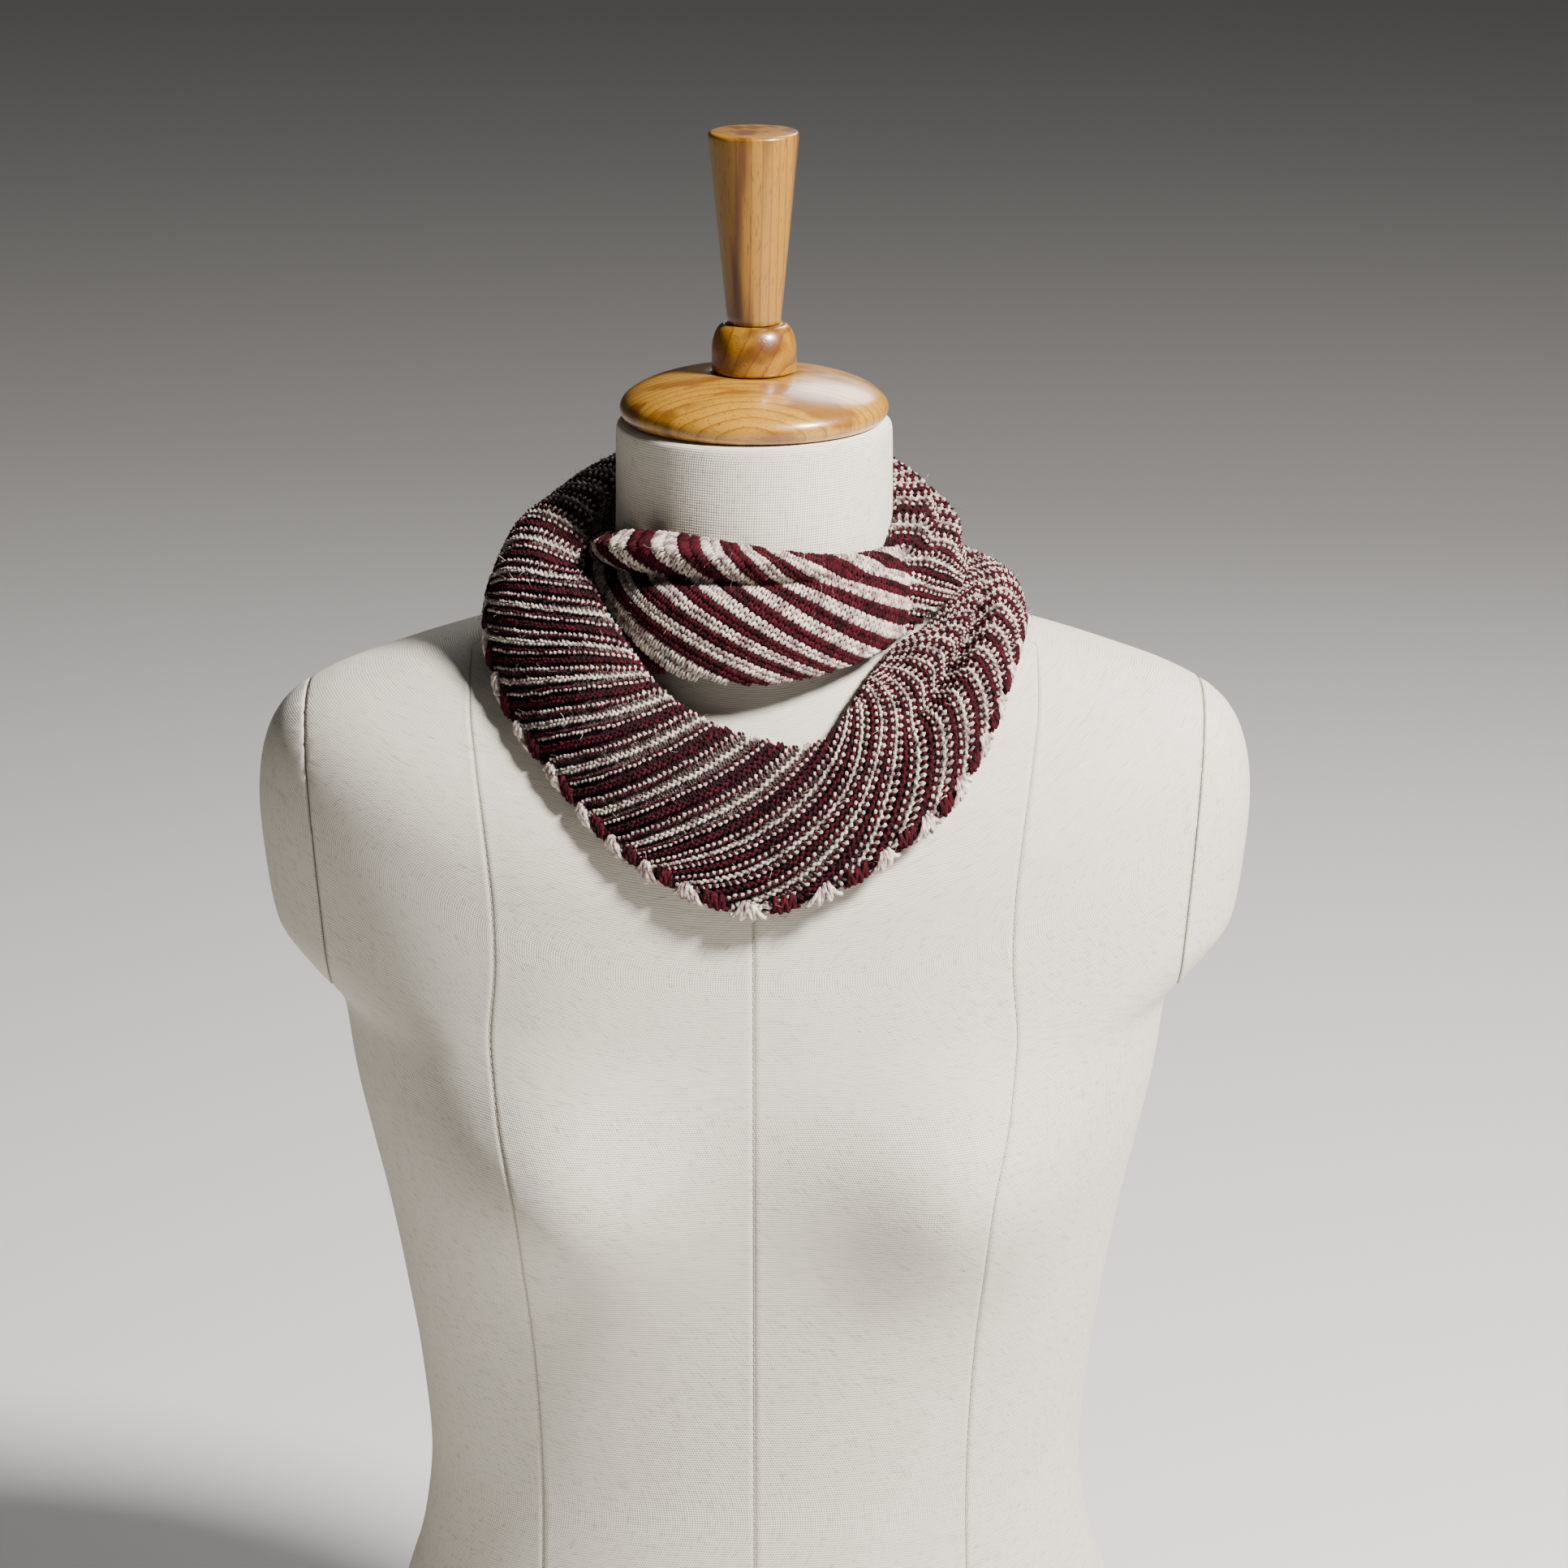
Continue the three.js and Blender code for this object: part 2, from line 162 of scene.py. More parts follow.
# %% Curves from tables
def smooth_curve(places, values):
    """A smooth curve through a table's column that never overshoots its rows."""
    x, y = np.asarray(places, float), np.asarray(values, float)
    step = np.diff(x)
    rise = np.diff(y) / step
    slope = np.concatenate([rise[:1], np.zeros(len(x) - 2), rise[-1:]])
    before, after = rise[:-1], rise[1:]
    mean = (before * step[1:] + after * step[:-1]) / (step[1:] + step[:-1])
    limit = 3 * np.minimum(abs(before), abs(after))
    slope[1:-1] = np.where(before * after > 0, np.clip(mean, -limit, limit), 0)

    def curve(place):
        place = np.asarray(place, float)
        i = np.clip(np.searchsorted(x, place) - 1, 0, len(step) - 1)
        u = (place - x[i]) / step[i]
        start = (1 + 2 * u) * (1 - u) ** 2 * y[i] + u * (1 - u) ** 2 * step[i] * slope[i]
        end = u * u * (3 - 2 * u) * y[i + 1] + u * u * (u - 1) * step[i] * slope[i + 1]
        return start + end

    return curve


def table_curves(columns, rows, period=None):
    """A curve for each column after the first, which holds the rows' places."""
    turns = [-1, 0, 1, 2] if period else [0]
    rows = [[row[0] + turn * (period or 0), *row[1:]] for turn in turns for row in rows]
    places = [row[0] for row in rows]
    return {
        name: smooth_curve(places, [row[i + 1] for row in rows])
        for i, name in enumerate(columns[1:])
    }


print("a curve from 0 to 1 passes", float(smooth_curve([0, 1], [0, 1])(0.5)), "half way")

# %% [markdown]
# ## Meshes from points
#
# A piece is made as rings of points with quads between them, like the hoops and staves of a
# barrel. Modelling by hand could give the same mesh, but here each point knows its place on the
# cloth or along the thread, and that goes with it as an attribute that the material reads.

# %% Meshes, outward faces and finished pieces
def mesh_object(name, points, faces, material, attributes=None):
    """A piece from points in millimetres. Attributes are numbers or vectors for each point."""
    mesh = bpy.data.meshes.new(name)
    mesh.from_pydata([tuple(p) for p in np.asarray(points, float) * MM], [], faces)
    for key, values in (attributes or {}).items():
        values = np.asarray(values, np.float32)
        kind, field = ("FLOAT", "value") if values.ndim == 1 else ("FLOAT_VECTOR", "vector")
        mesh.attributes.new(key, kind, "POINT").data.foreach_set(field, values.ravel())
    if material:
        mesh.materials.append(material)
    mesh.polygons.foreach_set("use_smooth", [True] * len(mesh.polygons))
    mesh.update()
    return link(bpy.data.objects.new(name, mesh))


def grid_faces(rows, columns):
    """Quads between rings of the same number of points."""
    return [
        (i * columns + j, i * columns + (j + 1) % columns,
         (i + 1) * columns + (j + 1) % columns, (i + 1) * columns + j)
        for i in range(rows - 1)
        for j in range(columns)
    ]


def outward(obj):
    """Turns the faces of a closed mesh so that they point out of it."""
    bm = bmesh.new()
    bm.from_mesh(obj.data)
    bmesh.ops.recalc_face_normals(bm, faces=bm.faces)
    bm.to_mesh(obj.data)
    bm.free()
    return obj


def triangles(obj):
    return sum(len(p.vertices) - 2 for p in obj.data.polygons)


def finished(obj, slot, *nodes):
    """Gives a piece its body and hides the CAD nodes it stands for. Its finish, the slot, is not
    used.
    """
    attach(obj, "root")
    if nodes:
        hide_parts(*nodes)
    return obj


print("a tube of 3 rings of 8 points has", len(grid_faces(3, 8)), "quads")

# %% [markdown]
# ## Building materials
#
# Canvas, varnished wood and wool. What they share, such as the way a yarn's plies and fibres
# catch the light, is a node group with its own values in each material. Cloth and yarn carry
# their own coordinates as attributes, so their pattern follows the thread and not the space. The
# nodes could be set one by one, but a small helper that adds, fills in and joins them keeps each
# material as short as a recipe.

# %% A helper that adds nodes
class Graph:
    """Adds nodes to a tree. A value given to a socket is a number, a colour or another socket."""

    def __init__(self, tree):
        self.tree = tree

    def add(self, kind, values=None, **settings):
        node = self.tree.nodes.new(kind)
        for key, value in settings.items():
            setattr(node, key, value)
        for key, value in (values or {}).items():
            if isinstance(value, bpy.types.NodeSocket):
                self.tree.links.new(value, node.inputs[key])
            else:
                node.inputs[key].default_value = value
        return node

    def math(self, operation, *values):
        return self.add(
            "ShaderNodeMath", dict(enumerate(values)), operation=operation).outputs[0]

    def mix(self, share, first, second, mode="MIX"):
        values = {0: share, 6: first, 7: second}
        return self.add("ShaderNodeMix", values, data_type="RGBA", blend_type=mode).outputs[2]

    def spread(self, value, low, high, bottom=0.0, top=1.0):
        node = self.add(
            "ShaderNodeMapRange",
            {"Value": value, "From Min": low, "From Max": high, "To Min": bottom, "To Max": top},
            interpolation_type="SMOOTHSTEP",
        )
        return node.outputs[0]

    def noise(self, vector, scale, detail=3.0, roughness=0.55):
        values = {"Vector": vector, "Scale": scale, "Detail": detail, "Roughness": roughness}
        return self.add("ShaderNodeTexNoise", values).outputs["Fac"]

    def attribute(self, name, output="Fac"):
        return self.add("ShaderNodeAttribute", attribute_name=name).outputs[output]


print("the helper's own nodes:", ", ".join(k for k in vars(Graph) if not k.startswith("_")))

# %% [markdown]
# ### Groups and materials
#
# A group is a small machine with named sockets that several materials share. The shader itself,
# and whatever is the same all over a surface, stays in the material.

# %% Groups, materials and bumps
def shader_group(name, inputs, outputs):
    """A node group with named sockets, as (name, kind, default)."""
    tree = bpy.data.node_groups.new(name, "ShaderNodeTree")
    for label, kind, value in inputs:
        socket = tree.interface.new_socket(label, in_out="INPUT", socket_type=kind)
        if value is not None:
            socket.default_value = value
    for label, kind in outputs:
        tree.interface.new_socket(label, in_out="OUTPUT", socket_type=kind)
    graph = Graph(tree)
    return tree, graph, graph.add("NodeGroupInput").outputs, graph.add("NodeGroupOutput").inputs


def new_material(name, **values):
    material = bpy.data.materials.new(name)
    material.use_nodes = True
    graph = Graph(material.node_tree)
    shader = material.node_tree.nodes["Principled BSDF"]
    for key, value in values.items():
        shader.inputs[key.replace("_", " ")].default_value = value
    return material, graph, shader


def place_group(graph, tree, values):
    return graph.add("ShaderNodeGroup", values, node_tree=tree).outputs


def bump(graph, shader, height, strength, distance):
    node = graph.add(
        "ShaderNodeBump", {"Height": height, "Strength": strength, "Distance": distance})
    graph.tree.links.new(node.outputs[0], shader.inputs["Normal"])


def darkened(graph, colour, share):
    """A colour times a grey, painted shade for what lies in a groove or a hole."""
    grey = graph.add("ShaderNodeCombineColor", {0: share, 1: share, 2: share}).outputs[0]
    return graph.mix(1.0, colour, grey, "MULTIPLY")


FLOAT, COLOUR, VECTOR = "NodeSocketFloat", "NodeSocketColor", "NodeSocketVector"
print("kinds of socket:", FLOAT, COLOUR, VECTOR)

# %% [markdown]
# ### Heathered wool
#
# The yarn is spun from two plies of short fibres, and each colour is a blend of three: the main
# one, a darker one and a lighter fleck, with painted shade in the grooves between the plies. One
# noise could mottle it, but yarn is streaked along its length, so the hairs are drawn in the
# yarn's own coordinates, along it and round it, and only the broad changes of tone are taken from
# space.

# %% The wool group
COAT_SCALE, PATCH_SCALE = 210.0, 330.0  # changes of tone, and where the flecks gather
PLY_TURNS = 200.0  # two plies, one turn in 5 mm
HAIR_ALONG, HAIR_AROUND, HAIR_TWIST = 220.0, 7.0, 900.0  # how fine the hairs are, and their slant


def wool_group():
    """Heathered wool: flecks of a second and third colour, and hairs that run along the yarn."""
    tree, graph, given, put = shader_group(
        "wool",
        [("Vector", VECTOR, None), ("Main", COLOUR, None), ("Shade", COLOUR, None),
         ("Fleck", COLOUR, None), ("Along", FLOAT, 0.0), ("Around", FLOAT, 0.0)],
        [("Colour", COLOUR), ("Height", FLOAT)],
    )
    coat = graph.noise(given["Vector"], COAT_SCALE, 2.0)
    twist = graph.add("ShaderNodeCombineXYZ", {
        0: graph.math("MULTIPLY", given["Along"], HAIR_ALONG),
        1: graph.math("ADD", graph.math("MULTIPLY", given["Around"], HAIR_AROUND),
                      graph.math("MULTIPLY", given["Along"], HAIR_TWIST))}).outputs[0]
    hairs = graph.noise(twist, 1.0, 3.0, 0.7)
    patches = graph.noise(given["Vector"], PATCH_SCALE, 2.0)
    tone = graph.math("ADD", coat, graph.math("MULTIPLY", hairs, 0.5))
    colour = graph.mix(graph.spread(tone, 0.6, 0.86), given["Shade"], given["Main"])
    fleck = graph.math(
        "MULTIPLY", graph.spread(patches, 0.5, 0.64), graph.spread(hairs, 0.45, 0.6))
    colour = graph.mix(fleck, colour, given["Fleck"])
    turns = graph.math("ADD", graph.math("MULTIPLY", given["Along"], PLY_TURNS),
                       graph.math("MULTIPLY", given["Around"], 2.0))
    ply = graph.math("ABSOLUTE", graph.math("SINE", graph.math("MULTIPLY", turns, math.pi)))
    height = graph.math(
        "ADD", graph.math("MULTIPLY", ply, 0.55), graph.math("MULTIPLY", hairs, 0.9))
    # Painted shade in the grooves between the plies.
    shaded = darkened(graph, colour, graph.spread(ply, 0.0, 0.5, 0.5, 1.0))
    graph.tree.links.new(shaded, put["Colour"])
    graph.tree.links.new(height, put["Height"])
    return tree


WOOL = wool_group()
print("wool group:", len(WOOL.nodes), "nodes")

# %% [markdown]
# ### Cream and burgundy yarn
#
# Two yarns of the same wool. Where a stretch of yarn dives behind its neighbours the light
# doesn't reach it, and so fine a hollow is hard to light well, so the yarn also carries how deep
# it lies, and its colour goes dark there. Wool has next to no shine, only a faint bloom of
# fibres.

# %% The two yarns
# Painted shade: the colour that yarn goes to where it lies deep between the stitches.
BURIED_SHADE = (0.014, 0.004, 0.006, 1)  # between the stitches
BURGUNDY = ((0.048, 0.0030, 0.0075, 1), (0.011, 0.001, 0.0025, 1), (0.095, 0.0075, 0.017, 1))
CREAM = ((0.64, 0.56, 0.47, 1), (0.22, 0.135, 0.14, 1), (0.84, 0.79, 0.72, 1))


def wool_material(name, group, main, shade, fleck):
    material, graph, shader = new_material(
        name, Roughness=0.92, Sheen_Weight=0.06, Sheen_Roughness=0.45, Specular_IOR_Level=0.14)
    shader.inputs["Sheen Tint"].default_value = fleck
    place = graph.add("ShaderNodeTexCoord").outputs["Object"]
    out = place_group(graph, group, {
        "Vector": place, "Main": main, "Shade": shade, "Fleck": fleck,
        "Along": graph.attribute("along"), "Around": graph.attribute("around")})
    # Painted shade, by how deep the yarn lies.
    shade_share = graph.math("MULTIPLY", graph.spread(graph.attribute("deep"), 0.08, 0.8), 0.93)
    colour = graph.mix(shade_share, out["Colour"], BURIED_SHADE)
    graph.tree.links.new(colour, shader.inputs["Base Color"])
    bump(graph, shader, out["Height"], 0.9, 0.0004)
    return material


WOOLS = {
    "cream": wool_material("wool_cream", WOOL, *CREAM),
    "burgundy": wool_material("wool_burgundy", WOOL, *BURGUNDY),
}
print("yarns:", ", ".join(WOOLS))

# %% [markdown]
# ### The fabric behind the loops
#
# Between two loops there is a glimpse of the layer behind, striped like the front and dark with
# painted shade.
# Modelling its loops too would double the yarn for something that is hardly seen, so the wall
# under them has the same stripes and stitches as a pattern, from its own count of rows and wales.

# %% The backing
# Painted shade: the dark of the hollows behind the loops.
HOLLOW_SHADE = (0.012, 0.003, 0.005, 1)


def backing_material():
    """The fabric under and behind the loops, with the stripes and stitches of its own courses,
    dark with painted shade.
    """
    material, graph, shader = new_material("knit_backing", Roughness=0.95, Specular_IOR_Level=0.15)
    row, wale = graph.attribute("row"), graph.attribute("wale")
    place = graph.add("ShaderNodeTexCoord").outputs["Object"]
    looks = [
        place_group(graph, WOOL, {"Vector": place, "Main": main, "Shade": shade, "Fleck": fleck,
                                  "Along": 0.002, "Around": 0.0})["Colour"]
        for main, shade, fleck in (BURGUNDY, CREAM)
    ]
    lean = graph.math("MULTIPLY", graph.math("ABSOLUTE", graph.math(
        "SUBTRACT", graph.math("FRACT", wale), 0.5)), 0.9)
    edge = graph.math("FRACT", graph.math("MULTIPLY", graph.math("ADD", row, lean), 0.25))
    stripe = graph.math("LESS_THAN", edge, 0.5)
    legs = graph.math("ABSOLUTE", graph.math("SINE", graph.math("MULTIPLY", wale, 2 * math.pi)))
    courses = graph.math("ABSOLUTE", graph.math("SINE", graph.math(
        "MULTIPLY", graph.math("ADD", row, lean), math.pi)))
    height = graph.math("MULTIPLY", legs, courses)
    colour = graph.mix(stripe, looks[0], looks[1])
    # Painted shade: the wall keeps at most about a quarter of its colour, and less in its
    # stitches' hollows.
    dark = graph.mix(graph.spread(height, 0.0, 0.8, 0.04, 0.26), HOLLOW_SHADE, colour)
    graph.tree.links.new(dark, shader.inputs["Base Color"])
    bump(graph, shader, height, 1.0, 0.0012)
    return material


BACKING = backing_material()
print("backing:", len(BACKING.node_tree.nodes), "nodes")

# %% [markdown]
# ### Canvas
#
# The form's cover is an off-white plain weave, a thread every millimetre, with thick places in
# the thread, clouds of tone, a few dark flecks and seams darkened along their grooves. Two waves
# across each other, pushed about by a slow noise so that no thread runs dead straight, give the
# threads, with painted shade in the holes and lines between them. They run in the cloth's own
# measure, so that they keep their size over every curve.

# %% The canvas
THREAD_PITCH = 0.00105
THREAD_SHADES = (0.45, 0.41, 0.335, 1), (0.74, 0.69, 0.60, 1)
FLECK_COLOUR, SEAM_COLOUR = (0.10, 0.075, 0.05, 1), (0.16, 0.14, 0.11, 1)
SLUB_SCALE, CLOUD_SCALE, FLECK_SCALE = 700.0, 9.0, 42.0
WANDER_SCALE, WANDER = 60.0, 2.2  # how the threads stray, in radians of their wave


def canvas_material():
    """Off-white plain-woven canvas, a little uneven, with the odd dark fleck."""
    material, graph, shader = new_material("canvas", Roughness=0.88, Specular_IOR_Level=0.25,
                                           Sheen_Weight=0.08, Sheen_Roughness=0.5)
    cloth = graph.attribute("cloth", "Vector")
    wander = graph.noise(cloth, WANDER_SCALE, 2.0)
    parts = graph.add("ShaderNodeSeparateXYZ", {0: cloth}).outputs
    waves = [
        graph.math("ABSOLUTE", graph.math("SINE", graph.math("ADD", graph.math(
            "MULTIPLY", part, math.pi / THREAD_PITCH), graph.math("MULTIPLY", wander, WANDER))))
        for part in (parts[0], parts[1])
    ]
    weave = graph.math("MULTIPLY", waves[0], waves[1])
    holes = graph.math("MULTIPLY", *(graph.math("SUBTRACT", 1.0, wave) for wave in waves))
    slubs = graph.math("ADD", *(
        graph.noise(graph.add("ShaderNodeMapping", {"Vector": cloth, "Scale": way}).outputs[0],
                    SLUB_SCALE, 1.0)
        for way in ((1, 0.2, 1), (0.2, 1, 1))))
    clouds = graph.noise(cloth, CLOUD_SCALE, 3.0)
    tone = graph.math(
        "ADD", graph.math("MULTIPLY", slubs, 0.8), graph.math("MULTIPLY", clouds, 0.2))
    colour = graph.mix(graph.spread(tone, 0.35, 0.95), *THREAD_SHADES)
    # Painted shade in the holes between the threads and in the lines where they part.
    colour = darkened(graph, colour, graph.math(
        "MULTIPLY", graph.spread(holes, 0.05, 0.45, 1.0, 0.4),
        graph.spread(weave, 0.0, 0.45, 0.87, 1.0)))
    cells = graph.add(
        "ShaderNodeTexVoronoi", {"Vector": cloth, "Scale": FLECK_SCALE, "Randomness": 1.0})
    chosen = graph.math("GREATER_THAN", graph.add(
        "ShaderNodeSeparateColor", {0: cells.outputs["Color"]}).outputs[0], 0.6)
    spot = graph.spread(cells.outputs["Distance"], 0.014, 0.028, 0.8, 0.0)
    colour = graph.mix(graph.math("MULTIPLY", spot, chosen), colour, FLECK_COLOUR)
    groove = graph.attribute("seam")
    colour = graph.mix(graph.math("MULTIPLY", groove, 0.55), colour, SEAM_COLOUR)
    graph.tree.links.new(colour, shader.inputs["Base Color"])
    height = graph.math("ADD", weave, graph.math("MULTIPLY", slubs, 0.5))
    bump(graph, shader, height, 0.3, 0.0004)
    return material


CANVAS = canvas_material()
print("canvas:", len(CANVAS.node_tree.nodes), "nodes, a thread every", THREAD_PITCH / MM, "mm")

# %% [markdown]
# ### The grain of wood
#
# Wood is a stack of growth rings, and a turned piece cuts through them, so on a dome the rings
# show as bent ovals and on a handle as long lines. Stripes painted on each piece would miss
# that. Here the distance from the tree's middle, bent by a slow noise, gives the year at every
# point in space, dark late wood at the end of each, and then come pores and broader changes of
# tone.

# %% The grain group
SWAY_SCALE, SWAY = 28.0, 0.012  # how the rings bend, and how far
PORE_COLOUR = (0.09, 0.03, 0.012, 1)


def wood_group():
    """Growth rings round the mapped origin, drawn out pores, and broad changes of tone."""
    tree, graph, given, put = shader_group(
        "wood grain",
        [("Vector", VECTOR, None), ("Spacing", FLOAT, 0.004), ("Pale", COLOUR, None),
         ("Warm", COLOUR, None), ("Streak", COLOUR, None)],
        [("Colour", COLOUR), ("Height", FLOAT)],
    )
    sway = graph.add(
        "ShaderNodeTexNoise", {"Vector": given["Vector"], "Scale": SWAY_SCALE, "Detail": 2.0})
    shift = graph.add(
        "ShaderNodeVectorMath", {0: sway.outputs["Color"], "Scale": SWAY}, operation="SCALE")
    bent = graph.add(
        "ShaderNodeVectorMath", {0: given["Vector"], 1: shift.outputs[0]}, operation="ADD")
    length = graph.add("ShaderNodeVectorMath", {0: bent.outputs[0]}, operation="LENGTH")
    year = graph.math("FRACT", graph.math("DIVIDE", length.outputs["Value"], given["Spacing"]))
    late = graph.math("POWER", year, 5.0)
    fine = graph.noise(given["Vector"], 900.0, 3.0)
    broad = graph.noise(given["Vector"], 80.0, 2.0)
    tone = graph.math(
        "ADD", graph.math("MULTIPLY", late, 0.55), graph.math("MULTIPLY", fine, 0.35))
    colour = graph.mix(graph.spread(tone, 0.1, 0.75), given["Pale"], given["Warm"])
    colour = graph.mix(graph.spread(broad, 0.47, 0.62, 0.0, 0.85), colour, given["Streak"])
    pores = graph.noise(given["Vector"], 1600.0, 1.0)
    pore = graph.spread(pores, 0.61, 0.68, 0.0, 0.6)
    colour = graph.mix(pore, colour, PORE_COLOUR)
    graph.tree.links.new(colour, put["Colour"])
    graph.tree.links.new(graph.math("SUBTRACT", 1.0, pore), put["Height"])
    return tree


WOOD = wood_group()
print("wood group:", len(WOOD.nodes), "nodes")

# %% [markdown]
# ### Varnished wood
#
# Each turned piece came from its own blank, so each has the rings' middle in another place, and
# they are stretched along its grain. The disc is the palest. All three have a clear varnish,
# which is a coat with a soft gloss on wood that is duller itself.

# %% The three woods
PALE, WARM, STREAK = (0.28, 0.13, 0.009, 1), (0.17, 0.06, 0.004, 1), (0.08, 0.022, 0.003, 1)
DISC_PALE, DISC_WARM = (0.38, 0.19, 0.018, 1), (0.21, 0.083, 0.007, 1)
DISC_STREAK = (0.17, 0.062, 0.006, 1)


def wood_material(name, group, location, rotation, scale, **values):
    material, graph, shader = new_material(
        name, Roughness=0.34, Coat_Weight=0.5, Coat_Roughness=0.16, Specular_IOR_Level=0.45)
    place = graph.add("ShaderNodeTexCoord").outputs["Object"]
    mapped = graph.add("ShaderNodeMapping", {
        "Vector": place, "Location": location, "Rotation": [math.radians(a) for a in rotation],
        "Scale": scale}).outputs[0]
    out = place_group(graph, group, {"Vector": mapped, **values})
    graph.tree.links.new(out["Colour"], shader.inputs["Base Color"])
    bump(graph, shader, out["Height"], 0.25, 0.0002)
    return material


WOODS = {  # place, turn and stretch of the rings
    "form_neck_disc": wood_material(
        "wood_disc", WOOD, (-0.0174, 0.0495, -0.5895), (0, 0, 12), (0.42, 1, 0.9),
        Spacing=0.0042, Pale=DISC_PALE, Warm=DISC_WARM, Streak=DISC_STREAK),
    "form_bead": wood_material(
        "wood_bead", WOOD, (0.02, 0.03, -0.67), (0, 30, 0), (0.5, 1, 0.6),
        Spacing=0.0035, Pale=PALE, Warm=WARM, Streak=STREAK),
    "form_handle": wood_material(
        "wood_handle", WOOD, (0.045, 0.03, 0), (0, 2, 0), (1, 1, 0.04),
        Spacing=0.0038, Pale=PALE, Warm=WARM, Streak=STREAK),
}
print("woods:", ", ".join(WOODS))

# %% [markdown]
# ## Trees that lay yarn, thread and fibres
#
# Whatever follows a path or repeats is made by a tree of Geometry Nodes, with its sizes as
# inputs: yarn on its path, stitches along a seam, loose fibres on the yarn. Each could be built
# point by point, but a tree says the rule once, and the same tree serves every piece. All of
# them end by making copies real and giving the material.

# %% What the trees share
def geometry_tree(name, inputs):
    tree = bpy.data.node_groups.new(name, "GeometryNodeTree")
    geometry = "NodeSocketGeometry"
    tree.interface.new_socket("Geometry", in_out="INPUT", socket_type=geometry)
    for label, kind, value in inputs:
        socket = tree.interface.new_socket(label, in_out="INPUT", socket_type=kind)
        if value is not None:
            socket.default_value = value
    tree.interface.new_socket("Geometry", in_out="OUTPUT", socket_type=geometry)
    graph = Graph(tree)
    return tree, graph, graph.add("NodeGroupInput").outputs, graph.add("NodeGroupOutput").inputs


def store(graph, geometry, name, value):
    return graph.add(
        "GeometryNodeStoreNamedAttribute",
        {"Geometry": geometry, "Name": name, "Value": value}, data_type="FLOAT", domain="POINT",
    ).outputs[0]


def swept(graph, curve, radius, sides, mark=False):
    section = graph.add(
        "GeometryNodeCurvePrimitiveCircle", {"Resolution": sides, "Radius": radius}).outputs[0]
    if mark:
        factor = graph.add("GeometryNodeSplineParameter").outputs["Factor"]
        section = store(graph, section, "around", factor)
    mesh = graph.add("GeometryNodeCurveToMesh",
                     {"Curve": curve, "Profile Curve": section, "Fill Caps": True}).outputs[0]
    return graph.add("GeometryNodeSetShadeSmooth", {"Geometry": mesh}).outputs[0]


def finish_tree(graph, geometry, given, put):
    real = graph.add("GeometryNodeRealizeInstances", {"Geometry": geometry}).outputs[0]
    look = graph.add("GeometryNodeSetMaterial", {"Geometry": real, "Material": given["Material"]})
    graph.tree.links.new(look.outputs[0], put["Geometry"])


INTEGER, MATERIAL = "NodeSocketInt", "NodeSocketMaterial"
print("trees also take", INTEGER, "and", MATERIAL)

# %% [markdown]
# ### Yarn along a path
#
# Spun wool is round, and a little thicker here and thinner there. A bevelled curve would sweep
# the same tube, but it forgets how far along and how far round each point is, and the wool's
# hairs and plies need both. So the tree stores them while it sweeps the section.

# %% The yarn tree
UNEVEN_SCALE = 150.0


def yarn_tree():
    tree, graph, given, put = geometry_tree("yarn along a path", [
        ("Radius", FLOAT, 0.001), ("Sides", INTEGER, 5), ("Unevenness", FLOAT, 0.2),
        ("Material", MATERIAL, None)])
    curve = graph.add("GeometryNodeMeshToCurve", {"Mesh": given["Geometry"]}).outputs[0]
    noise = graph.add("ShaderNodeTexNoise", {"Scale": UNEVEN_SCALE, "Detail": 1.0}).outputs[0]
    swing = graph.math("MULTIPLY", graph.math("SUBTRACT", noise, 0.5), given["Unevenness"])
    scale = graph.math("ADD", 1.0, graph.math("MULTIPLY", swing, 2.0))
    curve = graph.add("GeometryNodeSetCurveRadius", {"Curve": curve, "Radius": scale}).outputs[0]
    length = graph.add("GeometryNodeSplineParameter").outputs["Length"]
    curve = store(graph, curve, "along", length)
    finish_tree(graph, swept(graph, curve, given["Radius"], given["Sides"], True), given, put)
    return tree


YARN_TREE = yarn_tree()
print(YARN_TREE.name, "has", len(YARN_TREE.nodes), "nodes")

# %% [markdown]
# ### Loose fibres
#
# Wool has a halo of short bent fibres that catch the light from behind. Hair particles can't be
# exported and a bloom in the shader stays inside the outline, so each fibre is a bent hair of
# a few triangles. They stand on the yarn wherever chance puts them, always the same chance.

# %% The fibre tree
HAIR_BEND = ((0, 0, 0), (0.1, 0, 0.55), (0.55, 0.15, 0.85))  # in lengths of a fibre
LEAST_TURN, MOST_TURN = (-0.7, -0.7, 0), (0.7, 0.7, 6.28)


